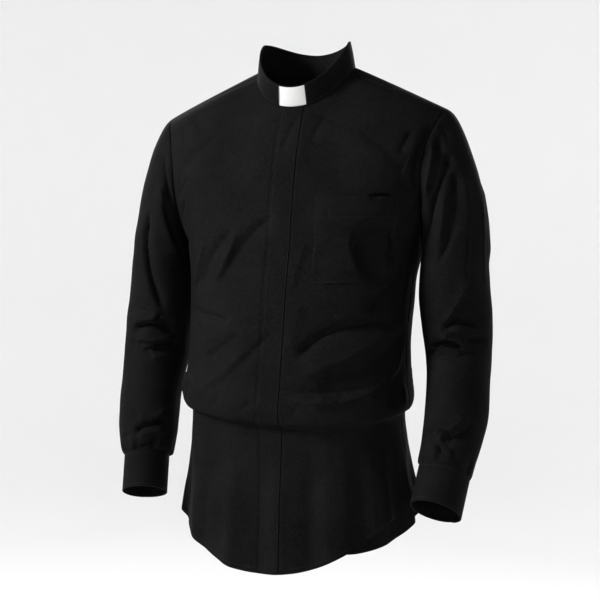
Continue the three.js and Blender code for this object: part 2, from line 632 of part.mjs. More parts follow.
function addPocket(left) {
  const foot = BODY_ROWS.length - 1 - BODY_ROWS.indexOf(POCKET_FOOT_ROW);
  const top = BODY_ROWS.length + 1 + FRONT_ROWS.findIndex((row) => row.height === POCKET.top);
  const near = FRONT_COLUMNS.indexOf(POCKET.near);
  const far = FRONT_COLUMNS.indexOf(POCKET.far);
  const cells = cellBlock(foot, top, near, far, true);
  addPiece("pocket", clothWall(left, { wall: TRIM_WALL, lift: () => TRIM_WALL + GAP, cells }));
}

function addSleeve(side, name) {
  const grid = sleeveGrid(side, name);
  addPiece(`sleeve_${name}`, clothWall(grid, { ring: true }));
  addSleeveSlit(side, name, grid);
  addCuff(side, name);
}

// The strip that finishes the slit above the cuff.
function addSleeveSlit(side, name, grid) {
  const columns = sleeveColumns(side, ARMS[name]).map((column) => column.around);
  const opening = CUFFS[name].opening;
  const away = columns.map((around) => Math.abs(around - opening));
  const from = away.indexOf(Math.min(...away)) - 1;
  const top = SLEEVE_ROWS.indexOf(SLEEVE_SLIT.from);
  const cells = cellBlock(top, SLEEVE_ROWS.length - 2, from, from + SLEEVE_SLIT.columns, false);
  addPiece(`sleeve_slit_${name}`, clothWall(grid, { wall: TRIM_WALL, lift: () => TRIM_WALL + GAP, cells }));
}

// The cuff is a band wound once round the wrist with its free end on top, held by a button.
function cuffFrame(side, name) {
  const top = armFrame(side, ARMS[name], ARMS[name].length);
  const end = new THREE.Vector3(side * CUFFS[name].end[0], CUFFS[name].end[1], CUFFS[name].end[2]);
  top.centre.addScaledVector(top.down, 2 * GAP);
  return { ...top, down: end.clone().sub(top.centre).normalize(), length: end.distanceTo(top.centre) };
}
function cuffPoint(frame, around, distance, out) {
  const start = armPoint(frame, around);
  start.addScaledVector(frame.down, distance);
  const normal = new THREE.Vector3()
    .addScaledVector(frame.outward, cosine(around) / frame.halfWidth)
    .addScaledVector(frame.forward, sine(around) / frame.halfDepth)
    .normalize();
  return { point: start.addScaledVector(normal, out), normal };
}
function addCuff(side, name) {
  const frame = cuffFrame(side, name);
  const opening = CUFFS[name].opening;
  const sweep = 360 + CUFF.overlap;
  const lapped = CUFF.wall + GAP + 0.15;
  const outAt = (turned) => lapped * smoothstep(turned, 360 - CUFF.ramp, 360 - CUFF.ramp / 6);
  const grid = evenly(CUFF.rows, 0, frame.length).map((distance) =>
    evenly(CUFF.columns, 0, sweep).map((turned) =>
      cuffPoint(frame, opening - turned, distance, outAt(turned) + CUFF.ease),
    ),
  );
  addPiece(`cuff_${name}`, clothWall(grid, { wall: CUFF.wall }));
  const buttonAround = opening - 360 - CUFF.overlap * 0.35;
  const buttonOut = lapped + CUFF.ease + CUFF_BUTTON.stand;
  addCuffButton(name, cuffPoint(frame, buttonAround, frame.length / 2, buttonOut));
}

function addCuffButton(name, seat) {
  const { radius, thickness, hole, holeSpacing } = CUFF_BUTTON;
  const outline = new THREE.Shape().absarc(0, 0, radius, 0, 2 * Math.PI);
  for (const [x, y] of [[1, 1], [-1, 1], [-1, -1], [1, -1]]) {
    outline.holes.push(new THREE.Path().absarc((x * holeSpacing) / 2, (y * holeSpacing) / 2, hole / 2, 0, 2 * Math.PI));
  }
  const disc = new THREE.ExtrudeGeometry(outline, { depth: thickness, bevelEnabled: false, curveSegments: 5 });
  const mesh = addPiece(`cuff_button_${name}`, disc, buttonBlack);
  mesh.position.copy(seat.point);
  mesh.quaternion.setFromUnitVectors(new THREE.Vector3(0, 0, 1), seat.normal);
}

// The collar stand closes at the centre front behind the white tab, and the outer layer stops either
// side of it.
function addCollar() {
  const tabAngle = radToDeg(Math.asin(TAB.halfWidth / NECK.halfWidth));
  const tuckAngle = radToDeg(Math.asin((TAB.halfWidth + TAB.tuck) / NECK.halfWidth));
  const stand = collarGrid(neckAngles(radToDeg(GAP / NECK.front)), COLLAR.standFrom);
  addPiece("collar_stand", clothWall(stand, { wall: STAND_WALL, lift: () => -TRIM_WALL - GAP }));
  const bandAngles = neckAngles(tabAngle);
  const bandLift = (c) => {
    const fromFront = Math.min(bandAngles[c], 360 - bandAngles[c]);
    return TAB_LIFT * (1 - smoothstep(fromFront, tuckAngle + 6, tuckAngle + 30));
  };
  addPiece("collar_band", clothWall(collarGrid(bandAngles), { wall: TRIM_WALL, lift: bandLift }));
  const tab = collarGrid(evenly(8, -tuckAngle, tuckAngle), TAB.bottom, TAB.top);
  addPiece("tab_insert", clothWall(tab, { wall: TAB.wall, lift: () => TAB.wall - TRIM_WALL }), white);
}

addBody();
addSleeve(1, "left");
addSleeve(-1, "right");
addCollar();

export default shirt;
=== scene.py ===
"""A long-sleeved black clergy shirt as it is worn, sewn from its own cloth pieces.

Sizes in the tables are millimetres and degrees. +X is the wearer's left, -Y the front and +Z up.
"""
import math
from collections import namedtuple

import bmesh
import bpy
import numpy as np
from mathutils import Matrix, Vector


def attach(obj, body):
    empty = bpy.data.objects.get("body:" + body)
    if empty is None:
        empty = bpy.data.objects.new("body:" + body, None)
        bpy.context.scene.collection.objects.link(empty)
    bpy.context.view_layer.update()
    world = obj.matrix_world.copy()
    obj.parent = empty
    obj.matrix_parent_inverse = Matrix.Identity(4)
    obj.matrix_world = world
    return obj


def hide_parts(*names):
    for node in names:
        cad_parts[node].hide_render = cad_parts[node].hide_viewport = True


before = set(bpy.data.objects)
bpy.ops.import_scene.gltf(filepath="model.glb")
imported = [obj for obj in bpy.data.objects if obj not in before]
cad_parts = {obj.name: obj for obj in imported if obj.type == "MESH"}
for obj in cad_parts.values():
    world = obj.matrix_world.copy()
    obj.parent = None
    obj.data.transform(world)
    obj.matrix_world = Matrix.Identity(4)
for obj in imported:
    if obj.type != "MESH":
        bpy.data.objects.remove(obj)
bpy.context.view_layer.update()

# Walls of single cloth and of sewn-on strips, how high a strip lies, and the gap at seams
CLOTH, STRIP, LAYER_LIFT, SEAM_GAP = 1.0, 1.1, 1.5, 0.3
# How far a front runs on under its neighbours, and how deep it and the yoke are tucked there
UNDERLAP, TUCK_DEPTH, YOKE_TUCK = 1.4, 1.3, 0.9
# Half the fly's width, the ridge on its stitched side and the dip under its free edge
FLY_HALF, FLY_RIDGE, FLY_DIP = 17.5, 1.2, 1.1
POCKET = {"near": 53.0, "far": 173.0, "top": -197.0, "hem": 30.0}
POCKET_CORNER, POCKET_PUFF, POCKET_GAPE, PEN_SLOT = 17.0, 1.6, 2.4, 22.0
NECK_HALF_WIDTH, NECK_FRONT, NECK_BACK = 75.0, 58.0, 66.0
RIDGE_Y = 12.0
SHOULDER_SLOPE, NECK_ROUND, NECK_REACH, SHOULDER_HALF, FLARE = 0.49, 40.0, 87.0, 242.0, 0.75
SQUARE = 2.3
YOKE_FRONT_ANGLE, YOKE_BACK_CENTRE, YOKE_BACK_SIDE = 76.0, -104.0, -112.0
CHEST_LEVEL, CHEST_HALF, CHEST_FRONT, CHEST_BACK = -255.0, 181.0, 114.0, 118.0

# Body sections: level, half width, front, back, axis x, turn, dip, lean, rise
BODY = np.array([
    (-190, 172, 120, 107, 0, 0, 0, 0, 0),
    (-255, 181, 114, 118, 0, 0, 0, 0, 0),
    (-320, 172, 120, 107, -2, -1, 3, 0, 0),
    (-393, 169, 124, 97, -4, -2, 10, 4, 0),
    (-450, 172, 129, 96, -5, -3, 20, 8, 0),
    (-481, 177, 133, 98, -6, -3, 26, 10, 0),
    (-496, 174, 130, 97, -6, -3, 28, 10, 0),
    (-501, 165, 120, 90, -6, -3, 28, 10, 0),
    (-524, 164, 118, 89, -6, -3, 26, 10, 0),
    (-608, 172, 120, 108, -6, -3, 12, 6, 12),
    (-680, 178, 124, 118, -6, -3, 4, 2, 52),
    (-742, 181, 126, 121, -6, -3, 0, 0, 92),
], float)
HEM_ROW, CHEST_ROW, POCKET_FOOT_ROW = 11, 1, 2
CHEST_UP = HEM_ROW - CHEST_ROW
# Where the cloth blouses over the waist, from the hem up, with the spacing of its points
BLOUSED = (HEM_ROW - 8.2, HEM_ROW - 5.4, 1.9)

# Rows of a front above the chest line: height at the centre, or angle round the neck, and angle
# round the armhole
FRONT_HEIGHTS = [-255, -245, -230, -214, -197, -172, -146, -118, -88]
FRONT_NECK_ANGLES = [0, 22, 44]
FRONT_ARMHOLE_ANGLES = [0, 28, 46, 59, 70, 86, 103, 120, 136, 145, 151, 156]
POCKET_TOP_UP = CHEST_UP + FRONT_HEIGHTS.index(-197)
NECK_UP = CHEST_UP + len(FRONT_HEIGHTS)
YOKE_UP = NECK_UP + len(FRONT_NECK_ANGLES)

# Sleeve sections from the upper arm to the cuff: x outwards, y, z, half width, half depth
ARMS = {
    "left": np.array([
        (231.5, 5, -275, 48.5, 60),
        (229.5, 7, -335, 52, 59),
        (233, 9, -385, 51, 57),
        (236, 8, -428, 48.5, 55),
        (241, -15, -472, 45.5, 51),
        (244, -38, -515, 45.5, 48),
        (242.5, -62, -556, 42.5, 45),
        (240, -77, -582, 40, 42),
        (238.5, -82, -591, 36.5, 36.5),
    ], float),
    "right": np.array([
        (229.5, 3, -272, 46.5, 59),
        (233.5, 5, -338, 51, 58),
        (241, 6, -384, 50, 56),
        (246, 5, -428, 49, 54),
        (246, -10, -474, 46.5, 50),
        (243.5, -28, -518, 46, 47),
        (240.5, -39, -546, 44, 45),
        (238, -48, -572, 39, 41),
        (237, -51, -581, 33, 36),
    ], float),
}
CUFF_ENDS = {"left": (232.6, -106.0, -644.0), "right": (234.5, -65.0, -635.0)}
CUFF_OPENING, CUFF_WALL, CUFF_EASE, CUFF_OVERLAP, CUFF_RAMP = -52.0, 1.8, 0.4, 24.0, 70.0
# How far the cuff's sewn edge comes up to the sleeve, its corner, and millimetres in a degree round it
CUFF_RISE, CUFF_CORNER, CUFF_DEGREE = 0.4, 9.0, 0.64
SLEEVE_END, SLIT_FROM, SLIT_TO, SLIT_HALF_TURN = 9, 6.0, 8.7, 12.0 / 300
BUTTON_FACE = 3.2

COLLAR_RISE = {"front": 31.0, "side": 38.0, "back": 43.0}
COLLAR_TOP_HALF, COLLAR_TOP_FRONT, COLLAR_TOP_BACK = 69.0, 64.0, 61.0
STAND_WALL, STAND_FROM = 1.1, 0.05
TAB_HALF, TAB_TUCK, TAB_WALL, TAB_TOP, TAB_BOTTOM = 21.5, 7.0, 1.0, 0.93, 0.02

SIDES = {"left": 1, "right": -1}

# Folds: three points (angle round the body or arm, height) on a curve, its half width, and how far
# it stands out or, below zero, lies in
Fold = namedtuple("Fold", "start middle end width height")
FRONT_FOLDS = [
    Fold((64, -379), (27, -389), (9, -438), 9, -5.5),
    Fold((12, -456), (35, -427), (64, -380), 12, 4),
    Fold((82, -388), (43, -443), (18, -476), 14, -4.5),
    Fold((3, -482), (35, -488), (80, -412), 7, 3.6),
    Fold((58, -458), (31, -476), (5, -476), 8, -2.5),
    Fold((47, -334), (59, -319), (69, -299), 6, 2.5),
    Fold((78, -309), (55, -341), (43, -363), 10, -5),
    Fold((43, -326), (37, -285), (35, -248), 6, 2.4),
    Fold((37, -256), (43, -285), (50, -322), 15, -3),
    Fold((61, -234), (47, -245), (37, -255), 7, -3),
    Fold((36, -243), (44, -228), (53, -220), 9, 1.5),
    Fold((56, -238), (60, -267), (57, -291), 9, -3),
    Fold((7, -332), (11, -292), (15, -257), 8, 1.5),
    Fold((24, -261), (21, -292), (20, -325), 8, -1),
    Fold((62, -176), (65, -144), (72, -107), 6, 1.8),
    Fold((71, -97), (65, -118), (61, -137), 5, -2),
    Fold((81, -90), (70, -129), (68, -188), 5, -4),
    Fold((-33, -322), (-28, -284), (-22, -244), 6, 3),
    Fold((-3, -222), (-18, -258), (-30, -312), 12, -3.4),
    Fold((-57, -335), (-48, -294), (-45, -254), 5, 2.5),
    Fold((-26, -243), (-38, -277), (-50, -336), 9, -2.8),
    Fold((-25, -377), (-38, -368), (-66, -355), 6, -3),
    Fold((-60, -373), (-48, -388), (-42, -407), 3, -1.5),
    Fold((-19, -393), (-29, -414), (-41, -432), 8, -2.2),
    Fold((-43, -478), (-26, -454), (-13, -416), 9, 2.2),
    Fold((-3, -392), (-12, -421), (-24, -454), 6, -2.2),
    Fold((-59, -196), (-62, -208), (-69, -221), 3, -1.5),
    Fold((-56, -163), (-61, -174), (-67, -189), 4, -1.5),
    Fold((-75, -80), (-68, -105), (-62, -133), 5, -1.2),
    Fold((-78, -63), (-66, -83), (-58, -104), 5, -1),
    Fold((57, -201), (51, -195), (45, -203), 4, -2.4),
    Fold((7, -76), (1, -100), (-2, -130), 5, -1.3),
    Fold((37, -71), (25, -91), (17, -121), 6, -1.2),
    Fold((67, -130), (62, -158), (59, -188), 7, -1.6),
    Fold((73, -201), (68, -233), (61, -248), 9, -2.2),
    Fold((7, -420), (9, -389), (11, -345), 8, 1.2),
    Fold((38, -129), (33, -166), (31, -195), 12, -0.7),
    Fold((-50, -93), (-41, -139), (-39, -184), 12, -0.8),
    Fold((48, -95), (58, -140), (64, -200), 14, -2),
    Fold((-48, -95), (-60, -140), (-66, -200), 12, -2),
]
TUCK_GATHERS = [
    Fold((-11, -491), (-14, -500), (-19, -510), 5, -1.3),
    Fold((-4, -484), (-7, -496), (-9, -512), 4, 1),
    Fold((12, -489), (10, -500), (7, -515), 5, -1.2),
    Fold((22, -482), (19, -495), (17, -508), 6, 1.1),
    Fold((31, -476), (28, -490), (26, -503), 5, -1.2),
    Fold((-27, -480), (-30, -492), (-32, -503), 6, -1.3),
    Fold((-40, -470), (-43, -484), (-45, -497), 6, 1.1),
    Fold((-52, -462), (-54, -478), (-56, -494), 7, -1.4),
    Fold((-68, -452), (-69, -470), (-70, -488), 8, 1.2),
    Fold((46, -476), (43, -488), (41, -500), 6, 1.1),
    Fold((58, -474), (56, -487), (54, -499), 7, -1.4),
    Fold((74, -468), (72, -484), (71, -498), 8, 1.2),
]
BACK_FOLDS = [
    Fold((150, -190), (158, -260), (168, -330), 22, -4),
    Fold((104, -300), (122, -350), (140, -420), 16, -4),
    Fold((125, -380), (135, -430), (150, -480), 14, 4),
    Fold((112, -215), (128, -250), (150, -275), 15, 2.5),
    Fold((168, -395), (163, -430), (160, -478), 13, -3.5),
    Fold((98, -225), (106, -262), (118, -300), 11, -2.5),
    Fold((140, -430), (146, -452), (153, -484), 9, -3),
    Fold((110, -440), (113, -462), (115, -486), 9, 2.5),
    Fold((175, -120), (177, -190), (178, -260), 9, 1.6),
]
SLEEVE_BACK_FOLDS = [
    Fold((-60, -130), (-85, -200), (-100, -270), 14, -4),
    Fold((-130, -380), (-80, -405), (-30, -420), 11, -4),
    Fold((-140, -400), (-95, -424), (-45, -440), 8, 3),
    Fold((-140, -480), (-90, -500), (-40, -530), 10, -3),
    Fold((-20, -170), (-30, -230), (-30, -300), 13, 2),
]
SLEEVE_FOLDS = {
    "left": [
        Fold((102, -206), (55, -133), (23, -80), 5, -4),
        Fold((37, -130), (30, -107), (24, -87), 3, -1.5),
        Fold((148, -266), (78, -188), (34, -128), 5, -4.5),
        Fold((148, -248), (85, -170), (52, -114), 4.5, 3.5),
        Fold((106, -306), (64, -213), (36, -153), 7, -4.5),
        Fold((66, -188), (83, -225), (102, -275), 6, 2),
        Fold((24, -154), (47, -246), (57, -340), 8, 3),
        Fold((53, -310), (68, -350), (107, -396), 4.5, 4),
        Fold((12, -332), (14, -259), (4, -193), 2.5, 1.2),
        Fold((100, -394), (73, -375), (31, -388), 7, -5),
        Fold((30, -391), (68, -389), (103, -401), 5, 3.5),
        Fold((91, -401), (73, -398), (53, -393), 2.5, -1),
        Fold((60, -405), (40, -403), (14, -404), 4.5, -4),
        Fold((145, -423), (104, -410), (64, -415), 6, -6.5),
        Fold((60, -418), (78, -405), (109, -405), 4, 3.5),
        Fold((70, -421), (94, -419), (130, -433), 5, 3),
        Fold((80, -428), (59, -421), (44, -422), 3, -2.5),
        Fold((119, -430), (94, -426), (76, -424), 2.5, -1),
        Fold((142, -443), (122, -443), (107, -446), 2.5, -1.4),
        Fold((48, -505), (83, -531), (131, -517), 6, 3.5),
        Fold((119, -518), (94, -527), (70, -525), 2.5, -1.5),
        Fold((94, -539), (66, -538), (32, -522), 8, -4),
        Fold((84, -564), (99, -549), (126, -542), 3, -1.5),
        Fold((73, -570), (87, -556), (108, -544), 3, -1.5),
        Fold((108, -538), (86, -535), (60, -545), 3, -2),
        Fold((84, -552), (67, -553), (53, -568), 4, -2),
        Fold((145, -529), (119, -534), (102, -528), 4, -3),
        *SLEEVE_BACK_FOLDS,
        Fold((-150, -330), (-110, -365), (-60, -392), 8, 3.5),
        Fold((-150, -425), (-100, -445), (-50, -462), 7, -4),
        Fold((-40, -150), (-62, -230), (-70, -320), 9, 2.5),
        Fold((-120, -540), (-80, -552), (-40, -560), 6, -3),
    ],
    "right": [
        Fold((71, -202), (82, -288), (124, -370), 6, -5.5),
        Fold((145, -288), (116, -228), (73, -165), 8, 3),
        Fold((94, -192), (125, -240), (153, -288), 6, -3),
        Fold((151, -401), (102, -382), (62, -393), 6, -6.5),
        Fold((63, -384), (91, -378), (112, -376), 6, 3),
        Fold((73, -401), (106, -408), (149, -402), 6, 3.5),
        Fold((102, -410), (80, -411), (58, -407), 3, -1.5),
        Fold((157, -410), (130, -413), (107, -414), 6, -5),
        Fold((137, -425), (113, -420), (91, -422), 4, -2),
        Fold((106, -434), (132, -431), (161, -426), 6, 2),
        Fold((102, -373), (80, -360), (30, -364), 6, -2),
        Fold((143, -387), (123, -376), (110, -367), 6, -4),
        Fold((89, -520), (120, -528), (152, -503), 6, 3),
        Fold((122, -525), (101, -523), (79, -513), 2.5, -1.5),
        Fold((153, -524), (113, -532), (86, -544), 5, -4.5),
        Fold((94, -549), (119, -547), (150, -542), 4, 2.5),
        Fold((140, -550), (118, -560), (94, -568), 4.5, -3.5),
        Fold((94, -551), (72, -546), (50, -554), 3, -1.8),
        Fold((125, -204), (83, -161), (45, -112), 3.5, -3),
        *SLEEVE_BACK_FOLDS,
        Fold((-150, -335), (-110, -362), (-60, -385), 8, 3.5),
        Fold((-150, -420), (-105, -442), (-50, -456), 7, -4),
        Fold((-42, -155), (-66, -235), (-72, -315), 9, 2.5),
        Fold((-120, -532), (-80, -545), (-40, -552), 6, -3),
    ],
}
BODY_RADIUS, SLEEVE_RADIUS = 150.0, 52.0
# What the heights of all folds are multiplied by, and how a fold's two flanks share its width
FOLD_DEPTH, GENTLE_FLANK, STEEP_FLANK = 1.65, 1.3, 0.62


# Curves and tables
def sine(degrees):
    return np.sin(np.radians(degrees))


def cosine(degrees):
    return np.cos(np.radians(degrees))


def signed_power(value, exponent):
    return np.sign(value) * np.abs(value) ** exponent


def lerp(a, b, share):
    return a + (b - a) * share


def smooth_step(value, low, high):
    t = np.clip((value - low) / (high - low), 0, 1)
    return t * t * (3 - 2 * t)


def table_at(table, row):
    """The table's columns at row numbers with fractions, on a curve through its rows."""
    row = np.asarray(row, float)
    last = len(table) - 1
    i = np.clip(np.floor(row).astype(int), 0, last - 1)
    t = (row - i)[..., None]
    here, after = table[i], table[i + 1]
    before = np.where((i > 0)[..., None], table[np.maximum(i - 1, 0)], 2 * here - after)
    beyond = np.where((i + 2 <= last)[..., None], table[np.minimum(i + 2, last)], 2 * after - here)
    curve = 2 * here + (after - before) * t + (2 * before - 5 * here + 4 * after - beyond) * t**2
    return 0.5 * (curve + (3 * here - before - 3 * after + beyond) * t**3)


def solve(rising, target, low, high):
    """Halves an interval until the rising function meets its target."""
    target = np.asarray(target, float)
    low, high = np.full(target.shape, float(low)), np.full(target.shape, float(high))
    for _ in range(40):
        middle = (low + high) / 2
        short = rising(middle) < target
        low, high = np.where(short, middle, low), np.where(short, high, middle)
    return (low + high) / 2


# The body's surface
def body_below(angle, row):
    level, half, front, back, axis, turn, dip, lean, rise = np.moveaxis(table_at(BODY, row), -1, 0)
    x = half * signed_power(sine(angle), 2 / SQUARE)
    y = -(back + front) / 2 * signed_power(cosine(angle), 2 / SQUARE)
    return np.stack([
        axis + x * cosine(turn) - y * sine(turn),
        (back - front) / 2 + x * sine(turn) + y * cosine(turn),
        level - dip * cosine(angle) - lean * sine(angle) + rise * sine(angle) ** 2,
    ], -1)


def dome_shape(across, front_half):
    share = signed_power(sine(across), 2 / SQUARE)
    reach = np.minimum(np.abs(share), 1)
    fullness = np.where(front_half, lerp(1.48, 2.2, smooth_step(reach, 0.25, 0.95)), lerp(2, 2.2, reach))
    top = SHOULDER_SLOPE * (NECK_REACH - np.hypot(share * SHOULDER_HALF, NECK_ROUND))
    return share, 2 / fullness, top - CHEST_LEVEL


def dome_half_width(over):
    return lerp(CHEST_HALF, SHOULDER_HALF, np.abs(sine(over)) ** FLARE)


def body_above(across, over):
    across, over = np.broadcast_arrays(np.asarray(across, float), np.asarray(over, float))
    front_half = over < 90
    share, roundness, height = dome_shape(across, front_half)
    middle = (CHEST_BACK - CHEST_FRONT) / 2
    depth = (CHEST_BACK + CHEST_FRONT) / 2 * signed_power(cosine(across), 2 / SQUARE)
    edge = np.where(front_half, middle - depth, middle + depth)
    return np.stack([
        share * dome_half_width(over),
        RIDGE_Y + (edge - RIDGE_Y) * np.abs(cosine(over)) ** roundness,
        CHEST_LEVEL + height * signed_power(sine(over), roundness),
    ], -1)


def over_at_height(across, z, behind=False):
    _, roundness, height = dome_shape(across, not behind)
    over = np.degrees(np.arcsin(np.clip((z - CHEST_LEVEL) / height, 0, 1) ** (1 / roundness)))
    return 180 - over if behind else over


def neck_seat(angle):
    """Where the neckline runs: 0 at the centre front and 180 at the centre back."""
    x = NECK_HALF_WIDTH * sine(angle)
    y = (NECK_BACK - NECK_FRONT) / 2 - (NECK_BACK + NECK_FRONT) / 2 * cosine(angle)

    def across_at(over):
        return np.degrees(np.arcsin(np.clip(signed_power(x / dome_half_width(over), SQUARE / 2), -1, 1)))

    over = solve(lambda o: body_above(across_at(o), o)[..., 1], y, 15, 165)
    return across_at(over), over


NECK_TABLE_ANGLES = np.linspace(-90, 450, 1081)
NECK_TABLE = np.stack(neck_seat(NECK_TABLE_ANGLES), -1)


def neckline(angle):
    return (
        np.interp(angle, NECK_TABLE_ANGLES, NECK_TABLE[:, 0]),
        np.interp(angle, NECK_TABLE_ANGLES, NECK_TABLE[:, 1]),
    )


def armhole(angle):
    """Where the armhole runs: 0 at the underarm, 90 in front, 180 on the shoulder, 270 behind."""
    edge = 0.5 * np.abs(sine(np.asarray(angle) / 2)) + 0.14 * sine(angle) ** 2
    return np.degrees(np.arccos(edge ** (SQUARE / 2))), 90 * (1 - cosine(np.asarray(angle) / 2))


def back_seam_over(across):
    height = lerp(YOKE_BACK_CENTRE, YOKE_BACK_SIDE, np.abs(across) / 90)
    return over_at_height(across, height, True)


YOKE_FRONT_ARMHOLE = float(solve(lambda a: armhole(a)[1], YOKE_FRONT_ANGLE, 0, 180))
YOKE_BACK_ARMHOLE = float(solve(lambda a: armhole(a)[1] - back_seam_over(armhole(a)[0]), 0, 180, 359))
YOKE_NECKLINE = float(solve(lambda a: neck_seat(a)[1], YOKE_FRONT_ANGLE, 0, 120))
ARMHOLE_STEPS = FRONT_ARMHOLE_ANGLES + [YOKE_FRONT_ARMHOLE]
NECK_STEPS = [0] * len(FRONT_HEIGHTS) + FRONT_NECK_ANGLES + [YOKE_NECKLINE]
NECK_FRONT_Z = float(body_above(*neckline(0))[2])
HEIGHT_STEPS = FRONT_HEIGHTS + [NECK_FRONT_Z]


def front_at(side, share, up):
    """A front panel: share 0 at its inner edge to 1 at its outer edge, up from 0 at the hem."""
    share, up = np.broadcast_arrays(np.asarray(share, float), np.asarray(up, float))
    low = body_below(side * 90 * share, HEM_ROW - np.minimum(up, CHEST_UP))
    step = np.clip(up - CHEST_UP, 0, len(ARMHOLE_STEPS) - 1)
    outer_across, outer_over = armhole(np.interp(step, range(len(ARMHOLE_STEPS)), ARMHOLE_STEPS))
    neck_across, neck_over = neckline(np.interp(step, range(len(NECK_STEPS)), NECK_STEPS))
    height = np.interp(step, range(len(HEIGHT_STEPS)), HEIGHT_STEPS)
    at_neck = step >= len(FRONT_HEIGHTS)
    inner_over = np.where(at_neck, neck_over, over_at_height(0 * step, height))
    inner_across = np.where(at_neck, neck_across, 0)
    across = lerp(inner_across, outer_across, share)
    outer_z = body_above(outer_across, outer_over)[..., 2]
    by_height = over_at_height(across, lerp(height, outer_z, share))
    by_angle = lerp(inner_over, outer_over, share)
    last_height = len(FRONT_HEIGHTS) - 1
    over = lerp(by_height, by_angle, smooth_step(step, last_height, last_height + 1))
    return np.where((up < CHEST_UP)[..., None], low, body_above(side * across, over))


def back_at(share, up):
    """The back below the yoke: share 0 at the right side seam to 1 at the left."""
    share, up = np.broadcast_arrays(np.asarray(share, float), np.asarray(up, float))
    low = body_below(lerp(-90, -270, share), HEM_ROW - np.minimum(up, CHEST_UP))
    angle = lerp(360, YOKE_BACK_ARMHOLE, np.clip((up - CHEST_UP) / BACK_STEPS, 0, 1))
    edge_across, edge_over = armhole(angle)
    side_share = (180 - edge_over) / (180 - back_seam_over(edge_across))
    centre_share = (360 - angle) / (360 - YOKE_BACK_ARMHOLE)
    across = lerp(-edge_across, edge_across, share)
    seam_share = lerp(centre_share, side_share, (2 * share - 1) ** 2)
    high = body_above(across, 180 - (180 - back_seam_over(across)) * seam_share)
    return np.where((up < CHEST_UP)[..., None], low, high)


BACK_STEPS = 9
YOKE_SHOULDER, YOKE_BACK = 4, 12
YOKE_END = 2 * YOKE_SHOULDER + YOKE_BACK


def yoke_at(place, out):
    """The yoke: place along its outer edge from the left front seam round the back to the right one,
    and out 0 at the neckline to 1 at the outer edge."""
    place, out = np.broadcast_arrays(np.asarray(place, float), np.asarray(out, float))
    from_end = np.minimum(place, YOKE_END - place)
    mirror = np.where(place > YOKE_END / 2, -1.0, 1.0)
    angle = lerp(YOKE_FRONT_ARMHOLE, YOKE_BACK_ARMHOLE, np.clip(from_end / YOKE_SHOULDER, 0, 1))
    edge_across, edge_over = armhole(angle)
    corner_across = armhole(YOKE_BACK_ARMHOLE)[0]
    seam_across = corner_across * (1 - (from_end - YOKE_SHOULDER) / (YOKE_BACK / 2))
    on_seam = from_end > YOKE_SHOULDER
    outer_across = np.where(on_seam, seam_across, edge_across)
    outer_over = np.where(on_seam, back_seam_over(seam_across), edge_over)
    neck_across, neck_over = neckline(lerp(YOKE_NECKLINE, 360 - YOKE_NECKLINE, place / YOKE_END))
    return body_above(
        lerp(neck_across, mirror * outer_across, out),
        lerp(neck_over, outer_over, out),
    )


# Folds and slack in the cloth
def fold_relief(folds, radius, around, z, mirrored=False):
    """How far the folds move points that lie at angles around the body or arm and at heights z."""
    relief = np.zeros(z.shape)
    to_mm = math.radians(radius)
    for fold in folds:
        t = np.linspace(0, 1, 15)[:, None]
        start, middle, end = (np.array(p, float) for p in fold[:3])
        bend = 2 * middle - (start + end) / 2
        path = (1 - t) ** 2 * start + 2 * t * (1 - t) * bend + t**2 * end
        path = np.stack([(path[:, 0] - start[0]) * to_mm, path[:, 1]], -1)
        turned = (-around if mirrored else around) - start[0]
        x = ((turned + 180) % 360 - 180) * to_mm
        room = 3 * fold.width
        near = (x > path[:, 0].min() - room) & (x < path[:, 0].max() + room)
        near &= (z > path[:, 1].min() - room) & (z < path[:, 1].max() + room)
        if not near.any():
            continue
        point = np.stack([x[near], z[near]], -1)[:, None, :]
        step = path[1:] - path[:-1]
        rel = point - path[:-1]
        along = np.clip((rel * step).sum(-1) / (step**2).sum(-1), 0, 1)
        off = rel - along[..., None] * step
        reach = np.sqrt((off**2).sum(-1))
        nearest = reach.argmin(1)
        pick = np.arange(len(nearest))
        reach = reach[pick, nearest]
        share = (nearest + along[pick, nearest]) / len(step)
        turn = step[nearest, 0] * rel[pick, nearest, 1] - step[nearest, 1] * rel[pick, nearest, 0]
        width = fold.width * np.where(turn > 0, GENTLE_FLANK, STEEP_FLANK)
        ends = smooth_step(share, 0, 0.2) * (1 - smooth_step(share, 0.8, 1))
        relief[near] += FOLD_DEPTH * fold.height * ends * np.exp(-((reach / width) ** 1.35))
    return relief


def slack(around, z, seed, radius):
    """Slow, shallow waves that soft cloth has everywhere, closed round the body or arm."""
    rng = np.random.default_rng(seed)
    total = np.zeros(z.shape)
    for length, height in ((150, 1.0), (95, 0.7), (60, 0.4), (38, 0.22)):
        for _ in range(3):
            heading = rng.uniform(0, math.pi)
            turns = round(2 * math.pi * radius * math.cos(heading) / length)
            down = 2 * math.pi * math.sin(heading) / length
            total += height / 3 * np.sin(turns * np.radians(around) + down * z + rng.uniform(0, 6.28))
    return total


def body_around(point):
    return np.degrees(np.arctan2(point[..., 0] / 176, -(point[..., 1] + 6) / 114))


def body_relief(point):
    around, z = body_around(point), point[..., 2]
    relief = fold_relief(FRONT_FOLDS + TUCK_GATHERS + BACK_FOLDS, BODY_RADIUS, around, z)
    relief += fold_relief(BACK_FOLDS, BODY_RADIUS, around, z, mirrored=True)
    soft = smooth_step(z, -60, -150)
    relief += soft * slack(around, z, 11, BODY_RADIUS)
    tail = smooth_step(z, -540, -640)
    relief += tail * (4 * np.sin(np.radians(around * 14) + 1) + 0.8 * np.sin(np.radians(around * 31) + 2))
    return relief


# Laying a piece of cloth on a surface: place gives a point from two positions on it, facing is the
# side that its outside is on, relief its folds, and step what its slope is measured over
Lay = namedtuple("Lay", "place facing relief step")


